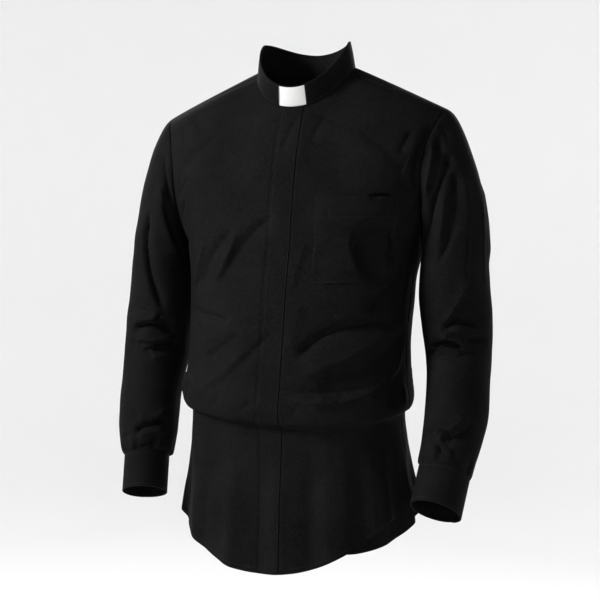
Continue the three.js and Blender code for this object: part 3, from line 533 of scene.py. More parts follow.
def on_cloth(lay, u, v, lift=0.0):
    """Points and outward normals of a surface with its folds added."""
    du, dv = lay.step
    here = lay.place(u, v)
    along = lay.place(u + du, v) - lay.place(u - du, v)
    up = lay.place(u, v + dv) - lay.place(u, v - dv)
    normal = np.cross(along, up) * lay.facing
    normal /= np.maximum(np.linalg.norm(normal, axis=-1, keepdims=True), 1e-12)
    return here + normal * (lay.relief(here, u, v) + lift)[..., None], normal


def lengths_of(points):
    steps = np.linalg.norm(np.diff(points, axis=-2), axis=-1)
    return np.concatenate([np.zeros(steps.shape[:-1] + (1,)), np.cumsum(steps, -1)], -1)


SHARES = np.linspace(0, 1.02, 205)
DISTANCES = np.arange(0, 342, 1.5)
UP_SAMPLES = np.linspace(0, YOKE_UP, 441)
FRONT_LENGTHS = lengths_of(front_at(1, SHARES[None, :], UP_SAMPLES[:, None]))
FRONT_TOTAL = np.array([np.interp(1.0, SHARES, row) for row in FRONT_LENGTHS])
FRONT_SHARES = np.array([np.interp(DISTANCES, row, SHARES) for row in FRONT_LENGTHS])


def front_share(distance, up):
    row = np.clip(up / UP_SAMPLES[1], 0, len(UP_SAMPLES) - 1.001)
    column = np.clip(distance / DISTANCES[1], 0, len(DISTANCES) - 1.001)
    i, j = row.astype(int), column.astype(int)
    a, b = row - i, column - j
    top = lerp(FRONT_SHARES[i, j], FRONT_SHARES[i, j + 1], b)
    return lerp(top, lerp(FRONT_SHARES[i + 1, j], FRONT_SHARES[i + 1, j + 1], b), a)


def front_length(up):
    return np.interp(up, UP_SAMPLES, FRONT_TOTAL)


def edge_groove(distance, depth=0.7, width=1.6):
    """A seam pulls the cloth in beside it."""
    return -depth * np.exp(-((distance / width) ** 2))


def front_relief(side):
    def relief(point, distance, up):
        total = body_relief(point)
        past = distance - front_length(up)
        total = total + edge_groove(np.minimum(past, 0), 0.4) - TUCK_DEPTH * smooth_step(past, -0.9, 0.5)
        total = total + edge_groove((YOKE_UP - up) * 12, 0.7)
        below_collar = 1 - smooth_step(up, NECK_UP - 0.7, NECK_UP)
        if side > 0:
            beside_fly = below_collar * smooth_step(distance, FLY_HALF + 0.4, FLY_HALF + 2.2)
            past_fly = np.maximum(distance - FLY_HALF, 0)
            total = total + FLY_RIDGE * beside_fly * np.exp(-((past_fly / 15) ** 2))
        else:
            under_edge = distance - FLY_HALF + 1.2
            total = total - FLY_DIP * below_collar * np.exp(-((under_edge / 2.6) ** 2))
        return total

    return relief


def front_lay(side):
    def place(distance, up):
        distance, up = np.broadcast_arrays(np.asarray(distance, float), np.asarray(up, float))
        return front_at(side, front_share(distance, up), up)

    return Lay(place, side, front_relief(side), (1.0, 0.03))


def back_relief(point, share, up):
    edge = np.minimum(share, 1 - share) * 520
    return body_relief(point) + edge_groove(edge) + edge_groove((CHEST_UP + BACK_STEPS - up) * 15)


BACK_LAY = Lay(back_at, -1, back_relief, (0.002, 0.03))


def yoke_relief(point, place, out):
    front_edge = np.minimum(place, YOKE_END - place) * 14
    grooves = edge_groove((1 - out) * 130, 0.3) + edge_groove(front_edge, 0.8)
    return body_relief(point) + grooves - YOKE_TUCK * smooth_step(out, 0.996, 1.004)


YOKE_LAY = Lay(yoke_at, -1, yoke_relief, (0.02, 0.01))


# Sleeves
def arm_frame(side, name, row):
    table = ARMS[name] * np.array([side, 1, 1, 1, 1.0])
    row = np.asarray(row, float)
    at, after = table_at(table, row - 1), table_at(table, row - 1 + 1e-3)
    down = after[..., :3] - at[..., :3]
    down /= np.linalg.norm(down, axis=-1, keepdims=True)
    outward = np.array([side, 0, 0]) - down * (down[..., :1] * side)
    outward /= np.linalg.norm(outward, axis=-1, keepdims=True)
    forward = np.cross(down, outward)
    forward *= -np.sign(forward[..., 1:2])
    return at[..., :3], down, outward, forward, at[..., 3:4], at[..., 4:5]


def arm_point(frame_at, around):
    centre, _, outward, forward, half_width, half_depth = frame_at
    around = np.asarray(around)[..., None]
    return centre + outward * half_width * cosine(around) + forward * half_depth * sine(around)


BODY_ABOVE_LAY = Lay(body_above, 1, lambda point, u, v: body_relief(point), (1e-2, 1e-2))
LOOP_ANGLES = np.linspace(0, 360, 721)
LOOP_EDGES = body_above(*armhole(LOOP_ANGLES))
LOOP_SHARES = lengths_of(LOOP_EDGES)
LOOP_SHARES /= LOOP_SHARES[-1]
LOOP_ACROSS, LOOP_OVER = armhole(LOOP_ANGLES)
SLEEVE_EDGES = {side: on_cloth(BODY_ABOVE_LAY, side * LOOP_ACROSS, LOOP_OVER)[0] for side in (1, -1)}


def sleeve_at(side, name):
    """A sleeve: turn 0 to 1 round the armhole from the underarm to the front, and row down it."""

    def place(turn, row):
        turn, row = np.broadcast_arrays(np.asarray(turn, float), np.asarray(row, float))
        angle = np.interp(turn % 1.0, LOOP_SHARES, LOOP_ANGLES)
        around = 180 - 360 * turn
        edge = np.stack([np.interp(turn % 1.0, LOOP_SHARES, SLEEVE_EDGES[side][:, k]) for k in range(3)], -1)
        high = (sine(angle / 2) ** 2)[..., None]
        leave = np.concatenate(
            [side * lerp(0.4, 0.84, high), -0.3 * sine(angle)[..., None], -lerp(0.9, 0.54, high)], -1
        )
        leave /= np.linalg.norm(leave, axis=-1, keepdims=True)
        top = arm_frame(side, name, np.ones(row.shape))
        t = np.clip(row, 0, 1)[..., None]
        # The head leaves the armhole and runs into the arm on one curve, fuller over the top
        head = (edge + leave * 2 * SEAM_GAP) * (2 * t**3 - 3 * t**2 + 1)
        head = head + leave * lerp(22, 108, high) * (t**3 - 2 * t**2 + t)
        head = head + arm_point(top, around) * (3 * t**2 - 2 * t**3)
        head = head + top[1] * lerp(26, 200, high) * (t**3 - t**2)
        arm = arm_point(arm_frame(side, name, np.maximum(row, 1)), around)
        return np.where((row < 1)[..., None], head, arm)

    return place


def sleeve_relief(side, name):
    def relief(point, turn, row):
        around, z = (180 - 360 * turn), point[..., 2]
        around = (around + 180) % 360 - 180
        settle = smooth_step(row, 0, 0.2) * (1 - smooth_step(row, 8.4, SLEEVE_END))
        total = fold_relief(SLEEVE_FOLDS[name], SLEEVE_RADIUS, around, z)
        total += 0.8 * slack(around, z, 23 + side, SLEEVE_RADIUS)
        pleats = 1.5 * np.sin(np.radians(around * 11) + side) + 0.7 * np.sin(np.radians(around * 19))
        total += smooth_step(row, 7.0, 8.4) * pleats
        seam = np.minimum(turn % 1.0, 1 - turn % 1.0) * 330
        return total * settle + edge_groove(seam, 0.4) + edge_groove(row * 80, 0.2)

    return relief


def sleeve_lay(side, name):
    return Lay(sleeve_at(side, name), -side, sleeve_relief(side, name), (0.002, 0.01))


# Cuffs
def cuff_frame(side, name):
    centre, down, outward, forward, half_width, half_depth = arm_frame(side, name, SLEEVE_END)
    centre = centre + down * 2 * SEAM_GAP
    end = np.array(CUFF_ENDS[name]) * np.array([side, 1, 1])
    length = float(np.linalg.norm(end - centre))
    return (centre, (end - centre) / length, outward, forward, half_width, half_depth), length


def cuff_lay(side, name):
    frame_at, _ = cuff_frame(side, name)
    lapped = CUFF_WALL + SEAM_GAP + 0.15

    def place(turned, distance):
        turned, distance = np.broadcast_arrays(np.asarray(turned, float), np.asarray(distance, float))
        return arm_point(frame_at, CUFF_OPENING - turned) + frame_at[1] * distance[..., None]

    def relief(point, turned, distance):
        return CUFF_EASE + lapped * smooth_step(turned, 360 - CUFF_RAMP, 360 - CUFF_RAMP / 6)

    return Lay(place, -side, relief, (0.5, 0.5))


# Collar
def collar_at(angle, share):
    angle, share = np.broadcast_arrays(np.asarray(angle, float), np.asarray(share, float))
    base = body_above(*neckline(angle % 360))
    behind = -cosine(angle)
    end_rise = np.where(behind > 0, COLLAR_RISE["back"], COLLAR_RISE["front"])
    rise = lerp(COLLAR_RISE["side"], end_rise, np.abs(behind))
    depth = (COLLAR_TOP_FRONT + COLLAR_TOP_BACK) / 2
    top = np.stack([
        COLLAR_TOP_HALF * sine(angle),
        (COLLAR_TOP_BACK - COLLAR_TOP_FRONT) / 2 - depth * cosine(angle),
        base[..., 2] + rise,
    ], -1)
    base = base + np.array([0, 0, 2 * SEAM_GAP])
    return lerp(base, top, share[..., None])


TAB_ANGLE = math.degrees(math.asin(TAB_HALF / NECK_HALF_WIDTH))
TUCK_ANGLE = math.degrees(math.asin((TAB_HALF + TAB_TUCK) / NECK_HALF_WIDTH))


def band_relief(point, angle, share):
    from_front = np.minimum(angle, 360 - angle)
    swell = 0.5 * np.sin(np.clip(share, 0, 1) * math.pi)
    return (TAB_WALL + SEAM_GAP) * (1 - smooth_step(from_front, TUCK_ANGLE + 6, TUCK_ANGLE + 30)) + swell


BAND_LAY = Lay(collar_at, 1, band_relief, (0.5, 0.01))
STAND_LAY = Lay(collar_at, 1, lambda point, u, v: np.full(u.shape, -STRIP - SEAM_GAP), (0.5, 0.01))
TAB_LAY = Lay(collar_at, 1, lambda point, u, v: np.full(u.shape, TAB_WALL - STRIP), (0.5, 0.01))


# Materials, with the weave's sizes in metres
THREAD_PITCH, THREAD_DEPTH = 0.00045, 0.00012


def new_material(name):
    material = bpy.data.materials.new(name)
    material.use_nodes = True
    nodes = material.node_tree.nodes
    return material, nodes, material.node_tree.links, nodes["Principled BSDF"]


def add_node(nodes, kind, **values):
    node = nodes.new(kind)
    for key, value in values.items():
        if hasattr(node, key):
            setattr(node, key, value)
        else:
            node.inputs[key].default_value = value
    return node


def math_node(nodes, links, operation, a, b=None):
    node = nodes.new("ShaderNodeMath")
    node.operation = operation
    for socket, value in zip(node.inputs, (a, b)):
        if isinstance(value, (int, float)):
            socket.default_value = value
        elif value is not None:
            links.new(value, socket)
    return node.outputs[0]


def textured(nodes, links, kind="ShaderNodeTexNoise", **values):
    """The amount of a pattern at each place on the piece."""
    coordinates = nodes.new("ShaderNodeTexCoord")
    texture = add_node(nodes, kind, **values)
    links.new(coordinates.outputs["Object"], texture.inputs["Vector"])
    return texture.outputs["Fac"]


def shade_between(nodes, links, shader, amount, dark, light, positions=(0, 1)):
    ramp = nodes.new("ShaderNodeValToRGB")
    for element, position, colour in zip(ramp.color_ramp.elements, positions, (dark, light)):
        element.position = position
        element.color = (*colour, 1)
    links.new(amount, ramp.inputs["Fac"])
    links.new(ramp.outputs["Color"], shader.inputs["Base Color"])


def raised(nodes, links, height, strength, distance):
    bump = add_node(nodes, "ShaderNodeBump", Strength=strength, Distance=distance)
    links.new(height, bump.inputs["Height"])
    return bump


def woven_height(nodes, links):
    """Warp and weft threads that pass over and under each other, from the cloth's own UV map."""
    uv = add_node(nodes, "ShaderNodeUVMap", uv_map="weave")
    split = nodes.new("ShaderNodeSeparateXYZ")
    links.new(uv.outputs["UV"], split.inputs[0])
    waves = []
    for axis in ("X", "Y"):
        turn = math_node(nodes, links, "MULTIPLY", split.outputs[axis], math.pi / THREAD_PITCH)
        waves.append(math_node(nodes, links, "SINE", turn))
    product = math_node(nodes, links, "MULTIPLY", *waves)
    crown = math_node(nodes, links, "MAXIMUM", *[math_node(nodes, links, "ABSOLUTE", w) for w in waves])
    return math_node(nodes, links, "ADD", math_node(nodes, links, "MULTIPLY", product, 0.35), crown)


def cloth_material(name, shade, roughness):
    material, nodes, links, shader = new_material(name)
    shader.inputs["Specular IOR Level"].default_value = 0.02
    patches = textured(nodes, links, Scale=14.0, Detail=6.0, Roughness=0.6)
    lint = textured(nodes, links, Scale=400.0, Detail=4.0, Roughness=0.75)
    patches = math_node(nodes, links, "MULTIPLY", patches, 0.25)
    lint = math_node(nodes, links, "MULTIPLY", lint, 0.75)
    mixed = math_node(nodes, links, "ADD", patches, lint)
    dark, light = [0.45 * value for value in shade], [1.6 * value for value in shade]
    shade_between(nodes, links, shader, mixed, dark, light, (0.38, 0.62))
    rough = add_node(nodes, "ShaderNodeMapRange")
    rough.inputs["To Min"].default_value = roughness - 0.05
    rough.inputs["To Max"].default_value = roughness + 0.1
    links.new(mixed, rough.inputs["Value"])
    links.new(rough.outputs["Result"], shader.inputs["Roughness"])
    slub = textured(nodes, links, Scale=480.0, Detail=3.0, Roughness=0.65)
    slub = raised(nodes, links, slub, 0.5, 0.0006)
    threads = raised(nodes, links, woven_height(nodes, links), 0.35, THREAD_DEPTH)
    links.new(slub.outputs["Normal"], threads.inputs["Normal"])
    links.new(threads.outputs["Normal"], shader.inputs["Normal"])
    return material


def thread_material():
    material, nodes, links, shader = new_material("black_sewing_thread")
    shader.inputs["Specular IOR Level"].default_value = 0.25
    shader.inputs["Roughness"].default_value = 0.55
    twist = textured(nodes, links, "ShaderNodeTexWave", Scale=900.0, Distortion=0.6)
    shade_between(nodes, links, shader, twist, (0.006, 0.006, 0.0065), (0.013, 0.013, 0.014))
    links.new(raised(nodes, links, twist, 0.4, 0.0001).outputs["Normal"], shader.inputs["Normal"])
    return material


def insert_material():
    material, nodes, links, shader = new_material("white_collar_insert")
    shader.inputs["Roughness"].default_value = 0.42
    shader.inputs["Subsurface Weight"].default_value = 0.06
    shader.inputs["Subsurface Radius"].default_value = (0.002, 0.002, 0.002)
    cloud = textured(nodes, links, Scale=60.0, Detail=4.0)
    shade_between(nodes, links, shader, cloud, (0.65, 0.65, 0.64), (0.71, 0.71, 0.705))
    grain = textured(nodes, links, Scale=900.0, Detail=3.0)
    links.new(raised(nodes, links, grain, 0.12, 0.0002).outputs["Normal"], shader.inputs["Normal"])
    return material


def button_material():
    material, nodes, links, shader = new_material("black_cuff_button")
    shader.inputs["Specular IOR Level"].default_value = 0.22
    shader.inputs["Roughness"].default_value = 0.3
    swirl = textured(nodes, links, Scale=220.0, Detail=5.0, Distortion=1.2)
    shade_between(nodes, links, shader, swirl, (0.010, 0.010, 0.011), (0.022, 0.022, 0.024))
    links.new(raised(nodes, links, swirl, 0.1, 0.0002).outputs["Normal"], shader.inputs["Normal"])
    return material


BODY_CLOTH = cloth_material("black_shirt_cloth", (0.0062, 0.0062, 0.0064), 0.72)
TRIM_CLOTH = cloth_material("black_faced_cloth", (0.006, 0.006, 0.0062), 0.7)
THREAD = thread_material()
INSERT = insert_material()
BUTTON = button_material()


# Pieces
Pattern = namedtuple("Pattern", "bm across up")


def measure_weave(mesh, across, up):
    """Turns the UV map from shares of the pattern into metres along the cloth."""
    layer = mesh.uv_layers["weave"].data
    places = np.empty(2 * len(layer))
    layer.foreach_get("uv", places)
    places[0::2] = np.interp(places[0::2], np.linspace(0, 1, len(across)), across)
    places[1::2] = np.interp(places[1::2], np.linspace(0, 1, len(up)), up)
    layer.foreach_set("uv", places)


def finish_piece(name, pattern, material, node=None, crease=40.0):
    bm = pattern.bm if isinstance(pattern, Pattern) else pattern
    mesh = bpy.data.meshes.new(name)
    for face in bm.faces:
        face.smooth = True
    for edge in bm.edges:
        edge.smooth = edge.is_manifold and edge.calc_face_angle(0) < math.radians(crease)
    bm.to_mesh(mesh)
    bm.free()
    if isinstance(pattern, Pattern):
        measure_weave(mesh, pattern.across, pattern.up)
    mesh.materials.append(material)
    piece = bpy.data.objects.new(name, mesh)
    bpy.context.scene.collection.objects.link(piece)
    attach(piece, "root")
    if node:
        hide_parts(node)
    return piece


def cut_pattern(lay, columns, rows, pattern=None, cuts=(), ring=False, wall=CLOTH, lift=0.0):
    """Cuts a flat pattern, lays it on its surface and gives it a wall. columns and rows are positions
    on the surface, and each cut is a corner line in pattern units with the side that goes."""
    columns, rows = np.asarray(columns, float), np.asarray(rows, float)
    across, up = len(columns) - 1, len(rows) - 1
    bm = bmesh.new()
    bm.loops.layers.uv.new("weave")
    bmesh.ops.create_grid(bm, x_segments=across, y_segments=up, size=0.5, calc_uvs=True)
    for point, away in cuts:
        bmesh.ops.bisect_plane(
            bm,
            geom=bm.verts[:] + bm.edges[:] + bm.faces[:],
            plane_co=(point[0] - 0.5, point[1] - 0.5, 0),
            plane_no=(away[0], away[1], 0),
            clear_outer=True,
        )
    flat = np.array([vert.co[:] for vert in bm.verts])
    a, b = (flat[:, 0] + 0.5) * across, (flat[:, 1] + 0.5) * up
    if pattern is None:
        u, v = np.interp(a, range(across + 1), columns), np.interp(b, range(up + 1), rows)
    else:
        u, v = pattern(a, b)
    points, normals = on_cloth(lay, u, v, lift)
    middle_up, middle_across = np.full(across + 1, up / 2), np.full(up + 1, across / 2)
    if pattern is None:
        row_line = lay.place(columns, np.interp(middle_up, range(up + 1), rows))
        column_line = lay.place(np.interp(middle_across, range(across + 1), columns), rows)
    else:
        row_line = lay.place(*pattern(np.arange(across + 1.0), middle_up))
        column_line = lay.place(*pattern(middle_across, np.arange(up + 1.0)))
    for vert, point in zip(bm.verts, points):
        vert.co = point / 1000
    if ring:
        bmesh.ops.remove_doubles(bm, verts=bm.verts[:], dist=1e-5)
    bm.normal_update()
    bm.faces.ensure_lookup_table()
    middle_face = bm.faces[len(bm.faces) // 2]
    centre = np.array(middle_face.calc_center_median()) * 1000
    nearest = np.argmin(((points - centre) ** 2).sum(-1))
    if middle_face.normal.dot(Vector(normals[nearest])) < 0:
        bmesh.ops.reverse_faces(bm, faces=bm.faces[:])
    give_wall(bm, wall / 1000)
    return Pattern(bm, lengths_of(row_line) / 1000, lengths_of(column_line) / 1000)


def give_wall(bm, wall):
    """Doubles the laid cloth inwards and closes its edges."""
    bm.normal_update()
    inner = bm.verts[:]
    inward = [vert.normal * -wall for vert in inner]
    outside = bm.faces[0].normal.copy()
    made = bmesh.ops.extrude_face_region(bm, geom=bm.faces[:], use_keep_orig=True)
    outer_face = next(item for item in made["geom"] if isinstance(item, bmesh.types.BMFace))
    for vert, move in zip(inner, inward):
        vert.co += move
    bmesh.ops.recalc_face_normals(bm, faces=bm.faces[:])
    bm.normal_update()
    if outer_face.normal.dot(outside) < 0:
        bmesh.ops.reverse_faces(bm, faces=bm.faces[:])


def round_rim(pattern, offset, segments=2):
    """Rounds the pressed edges of a layer."""
    bm = pattern.bm
    sharp = [e for e in bm.edges if e.is_manifold and e.calc_face_angle(0) > math.radians(55)]
    bmesh.ops.bevel(
        bm, geom=sharp, offset=offset / 1000, segments=segments, profile=0.5, affect="EDGES",
        material=-1, clamp_overlap=True,
    )


def evenly_spaced(place, low, high, spacing, dense=()):
    """Positions on a surface line with about equal spacing on the cloth, closer where dense says:
    (from, to, spacing)."""
    fine = np.linspace(low, high, 1201)
    reach = np.linalg.norm(np.diff(place(fine), axis=0), axis=-1)
    middle = (fine[1:] + fine[:-1]) / 2
    wanted = np.full(middle.shape, float(spacing))
    for start, end, close in dense:
        wanted[(middle > start) & (middle < end)] = close
    cells = np.concatenate([[0], np.cumsum(reach / wanted)])
    count = int(math.ceil(cells[-1]))
    return np.interp(np.linspace(0, cells[-1], count + 1), cells, fine)


def near_edges(positions, low, high, offsets, unit):
    """Adds positions close to both ends, offsets in millimetres, unit being millimetres per step."""
    extra = [low + o / unit for o in offsets] + [high - o / unit for o in offsets]
    clear = offsets[-1] / unit * 1.3
    keep = [p for p in positions if clear < p - low and clear < high - p]
    return np.array(sorted([low, high] + extra + keep))


def sew_front(side, name):
    lay = front_lay(side)
    ups = evenly_spaced(
        lambda up: front_at(side, 0.45 + 0 * up, up), 0, YOKE_UP, 2.8,
        dense=(BLOUSED, (YOKE_UP - 0.4, YOKE_UP, 1.5)),
    )
    # Distances from the inner edge up to the pocket, then shares of what is left of the width
    fixed = np.concatenate([
        [0.15], np.arange(3.5, FLY_HALF - 1, 3.5), FLY_HALF + np.array([-0.6, 0.3, 1.0, 1.7, 2.6]),
        np.arange(FLY_HALF + 5, POCKET["far"] + 1, 2.8),
    ])
    last = fixed[-1]
    tail = np.concatenate([np.linspace(0, 0.94, 34)[1:], [0.962, 0.98, 0.992, 1.0]])
    count = len(fixed) + len(tail)

    def pattern(a, b):
        up = np.interp(b, range(len(ups)), ups)
        length = front_length(up)
        shrink = np.minimum(1, (length - 30) / last)
        inner = np.interp(a, range(len(fixed)), fixed) * shrink
        inner = np.where(up >= NECK_UP, inner - 0.15 * shrink * (a < 1) * (1 - a), inner)
        end = length + UNDERLAP
        share = np.interp(a - (len(fixed) - 1), range(len(tail) + 1), np.concatenate([[0], tail]))
        outer = lerp(last * shrink, end, share)
        return np.where(a <= len(fixed) - 1, inner, outer), up

    bm = cut_pattern(lay, np.arange(count), ups, pattern=pattern, wall=CLOTH)
    return finish_piece(f"{name}_cloth", bm, BODY_CLOTH, name), lay


def sew_back():
    shares = near_edges(np.linspace(0, 1, 152), 0.00028, 0.99972, (0.8, 1.8, 3.2), 520)
    ups = evenly_spaced(
        lambda up: back_at(0.35 + 0 * up, up), 0, CHEST_UP + BACK_STEPS - 0.008, 3.5,
        dense=(BLOUSED, (CHEST_UP + BACK_STEPS - 0.3, 99, 1.4)),
    )
    bm = cut_pattern(BACK_LAY, shares, ups, wall=CLOTH)
    return finish_piece("back_cloth", bm, BODY_CLOTH, "back")


def sew_yoke():
    far_shoulder = YOKE_END - YOKE_SHOULDER
    places = np.concatenate([
        [0, 0.06, 0.13], np.linspace(0, YOKE_SHOULDER, 25)[1:],
        np.linspace(YOKE_SHOULDER, far_shoulder, 97)[1:], np.linspace(far_shoulder, YOKE_END, 25)[1:-1],
        [YOKE_END - 0.13, YOKE_END - 0.06, YOKE_END],
    ])
    outs = np.concatenate([np.linspace(0, 0.965, 34), [0.978, 0.988, 0.996, 1.004, 1.011]])
    bm = cut_pattern(YOKE_LAY, places, outs, wall=CLOTH)
    return finish_piece("yoke_cloth", bm, BODY_CLOTH, "yoke")


def sew_fly():
    """The fly strip lies over both fronts: its free edge on the wearer's right, a stitched groove
    on the left."""

    def place(distance, up):
        distance, up = np.broadcast_arrays(np.asarray(distance, float), np.asarray(up, float))
        share = front_share(np.abs(distance), up)
        return np.where((distance < 0)[..., None], front_at(-1, share, up), front_at(1, share, up))

    def relief(point, distance, up):
        return body_relief(point) + 0.25 * np.cos(np.clip(distance / FLY_HALF, -1, 1) * math.pi / 2)

    lay = Lay(place, 1, relief, (1.0, 0.03))
    columns = [-17.5, -16.9, -15.9, -13.5, -10.5, -7, -3.5, 0, 3.5, 7, 10.5, 13.5, 15.9, 16.9, 17.5]
    ups = evenly_spaced(
        lambda up: front_at(1, 0 * up, up), 0, NECK_UP, 3.4, dense=(BLOUSED,)
    )
    bm = cut_pattern(lay, columns, ups, wall=STRIP, lift=LAYER_LIFT)
    round_rim(bm, 0.35)
    return finish_piece("fly_strip", bm, TRIM_CLOTH, "placket"), lay


def sew_pocket(front_left):
    near, far = POCKET["near"], POCKET["far"]
    foot, top = HEM_ROW - POCKET_FOOT_ROW, POCKET_TOP_UP
    hem_height = POCKET["top"] - POCKET["hem"]
    hem_up = float(solve(lambda up: front_left.place(near + 30, up)[..., 2], hem_height, foot, top))

    def relief(point, distance, up):
        total = body_relief(point)
        inside = np.minimum.reduce([distance - near, far - distance, (up - foot) * 30])
        puff = POCKET_PUFF * smooth_step(inside, 0, 16)
        mouth = smooth_step(distance, near + 50, far - 25) * (1 - smooth_step(distance, far - 12, far))
        gape = POCKET_GAPE * mouth * smooth_step(up, hem_up + 1.2, top)
        hem_line = edge_groove((up - hem_up) * 15, 0.45, 1.4)
        turned = 0.5 * smooth_step(up, hem_up - 0.05, hem_up + 0.05)
        return total + puff + gape + hem_line + turned

    lay = Lay(front_left.place, 1, relief, (1.0, 0.03))
    columns = near_edges(np.linspace(near, far, 41), near, far, (0.7, 1.5, 2.4), 1.0)
    ups = evenly_spaced(
        lambda up: front_left.place(near + 40 + 0 * up, up), foot, top, 3.0,
        dense=((hem_up - 0.35, hem_up + 0.35, 0.9), (foot, foot + 0.12, 1.0), (top - 0.12, top, 1.0)),
    )
    a = np.interp(near + POCKET_CORNER, columns, np.linspace(0, 1, len(columns)))
    c = np.interp(far - POCKET_CORNER, columns, np.linspace(0, 1, len(columns)))
    rise = np.interp(foot + POCKET_CORNER * 0.92 / 65.0, ups, np.linspace(0, 1, len(ups)))
    cuts = (((a, 0), (-rise, -a)), ((c, 0), (rise, -(1 - c))))
    bm = cut_pattern(lay, columns, ups, cuts=cuts, wall=STRIP, lift=LAYER_LIFT)
    round_rim(bm, 0.35)
    return finish_piece("pocket_patch", bm, TRIM_CLOTH, "pocket"), lay, hem_up


def sew_sleeve(side, name):
    lay = sleeve_lay(side, name)
    turns = near_edges(np.linspace(0, 1, 124), 0, 1, (1.0, 2.2), 330)
    rows = evenly_spaced(
        lambda row: lay.place(0.5 + 0 * row, row), 0, SLEEVE_END, 3.0,
        dense=((0, 0.04, 1.2), (8.3, SLEEVE_END, 2.0)),
    )
    bm = cut_pattern(lay, turns, rows, ring=True, wall=CLOTH)
    return finish_piece(f"sleeve_{name}_cloth", bm, BODY_CLOTH, f"sleeve_{name}"), lay


def sew_slit_strip(name, sleeve):
    """The faced strip over the slit above the cuff, with its pointed top."""
    centre = (180 - CUFF_OPENING) / 360
    turns = np.linspace(centre - SLIT_HALF_TURN, centre + SLIT_HALF_TURN, 11)
    rows = evenly_spaced(lambda row: sleeve.place(centre + 0 * row, row), SLIT_FROM, SLIT_TO, 3.0)
    tip = 0.13
    cuts = (((0, tip), (-tip, -0.5)), ((1, tip), (tip, -0.5)))
    bm = cut_pattern(sleeve, turns, rows, cuts=cuts, wall=STRIP, lift=LAYER_LIFT)
    round_rim(bm, 0.3)
    return finish_piece(f"slit_strip_{name}", bm, TRIM_CLOTH, f"sleeve_slit_{name}"), (turns, rows)


def sew_cuff(side, name):
    lay = cuff_lay(side, name)
    _, length = cuff_frame(side, name)
    sweep = 360 + CUFF_OVERLAP
    turned = near_edges(np.linspace(0, sweep, 118), 0, sweep, (0.8, 1.8), CUFF_DEGREE)
    distances = near_edges(np.linspace(-CUFF_RISE, length, 17), -CUFF_RISE, length, (0.7, 1.6), 1.0)
    a = 1 - (CUFF_CORNER / CUFF_DEGREE) / sweep
    b = 1 - CUFF_CORNER / length
    a_index = np.interp(a * sweep, turned, np.linspace(0, 1, len(turned)))
    b_index = np.interp(b * length, distances, np.linspace(0, 1, len(distances)))
    cuts = (((a_index, 1), (1 - b_index, 1 - a_index)),)
    bm = cut_pattern(lay, turned, distances, cuts=cuts, wall=CUFF_WALL)
    round_rim(bm, 0.5)
    return finish_piece(f"cuff_{name}_band", bm, TRIM_CLOTH, f"cuff_{name}"), lay, length


def sew_collar():
    band_end = 360 - TAB_ANGLE
    angles = near_edges(np.linspace(TAB_ANGLE, band_end, 124), TAB_ANGLE, band_end, (0.7, 1.5), 1.25)
    shares = [-STAND_FROM, 0.02, 0.05, 0.12, 0.22, 0.34, 0.46, 0.58, 0.7, 0.8, 0.88, 0.94, 0.975, 1.0]
    band = cut_pattern(BAND_LAY, angles, shares, wall=STRIP)
    round_rim(band, 0.4)
    band_piece = finish_piece("collar_band_cloth", band, TRIM_CLOTH, "collar_band")
    start = math.degrees(SEAM_GAP / NECK_FRONT)
    angles = np.linspace(start, 360 - start, 132)
    shares = np.concatenate([[-STAND_FROM], np.linspace(0.12, 0.88, 9), [0.95, 0.98, 1.0]])
    stand = cut_pattern(STAND_LAY, angles, shares, wall=STAND_WALL)
    round_rim(stand, 0.35)
    stand_piece = finish_piece("collar_stand_cloth", stand, TRIM_CLOTH, "collar_stand")
    angles, shares = np.linspace(-TUCK_ANGLE, TUCK_ANGLE, 25), np.linspace(TAB_BOTTOM, TAB_TOP, 13)
    tab = cut_pattern(TAB_LAY, angles, shares, wall=TAB_WALL)
    round_rim(tab, 0.25, segments=3)
    finish_piece("collar_insert", tab, INSERT, "tab_insert")
    return band_piece, stand_piece


# Sewing: stitches are made a few at a time, which is quicker
STITCH_BATCH = 40


def placed(sideways, out, along, middle):
    """Stretches a ball to a stitch, from its three half axes and its middle in millimetres."""
    columns = (sideways, out, along, middle)
    matrix = Matrix([[column[axis] for column in columns] for axis in range(3)] + [[0, 0, 0, 1]])
    return Matrix.Scale(0.001, 4) @ matrix


def stitch_line(bm, lay, path, lift, pitch=3.0, length=2.2, width=0.5, sink=0.08):
    """Stitches of one row, along positions on a surface."""
    path = np.asarray(path, float)
    t = np.linspace(0, len(path) - 1, 60 * (len(path) - 1) + 1)
    u = np.interp(t, range(len(path)), path[:, 0])
    v = np.interp(t, range(len(path)), path[:, 1])
    points, normals = on_cloth(lay, u, v, lift - sink)
    reach = lengths_of(points)
    count = max(int(reach[-1] / pitch), 1)
    half = length / pitch / 2
    ends = (np.arange(count)[:, None] + [0.5 - half, 0.5, 0.5 + half]) * reach[-1] / count
    at = np.stack([np.interp(ends, reach, points[:, k]) for k in range(3)], -1)
    facing = np.stack([np.interp(ends[:, 1], reach, normals[:, k]) for k in range(3)], -1)
    batch = bmesh.new()
    for number, ((start, middle, end), normal) in enumerate(zip(at, facing)):
        along = Vector(end - start)
        span = along.length
        along.normalize()
        normal = Vector(normal).normalized()
        sideways = along.cross(normal).normalized()
        normal = sideways.cross(along)
        matrix = placed(sideways * width / 2, normal * width / 2, along * span / 2, Vector(middle))
        bmesh.ops.create_uvsphere(batch, u_segments=5, v_segments=4, radius=1, matrix=matrix)
        if (number + 1) % STITCH_BATCH == 0 or number == count - 1:
            sewn = bpy.data.meshes.new("stitches")
            batch.to_mesh(sewn)
            bm.from_mesh(sewn)
            bpy.data.meshes.remove(sewn)
            batch.clear()
    batch.free()


def stitching(name, lines):
    bm = bmesh.new()
    for lay, path, lift in lines:
        stitch_line(bm, lay, path, lift)
    return finish_piece(name, bm, THREAD, crease=70)


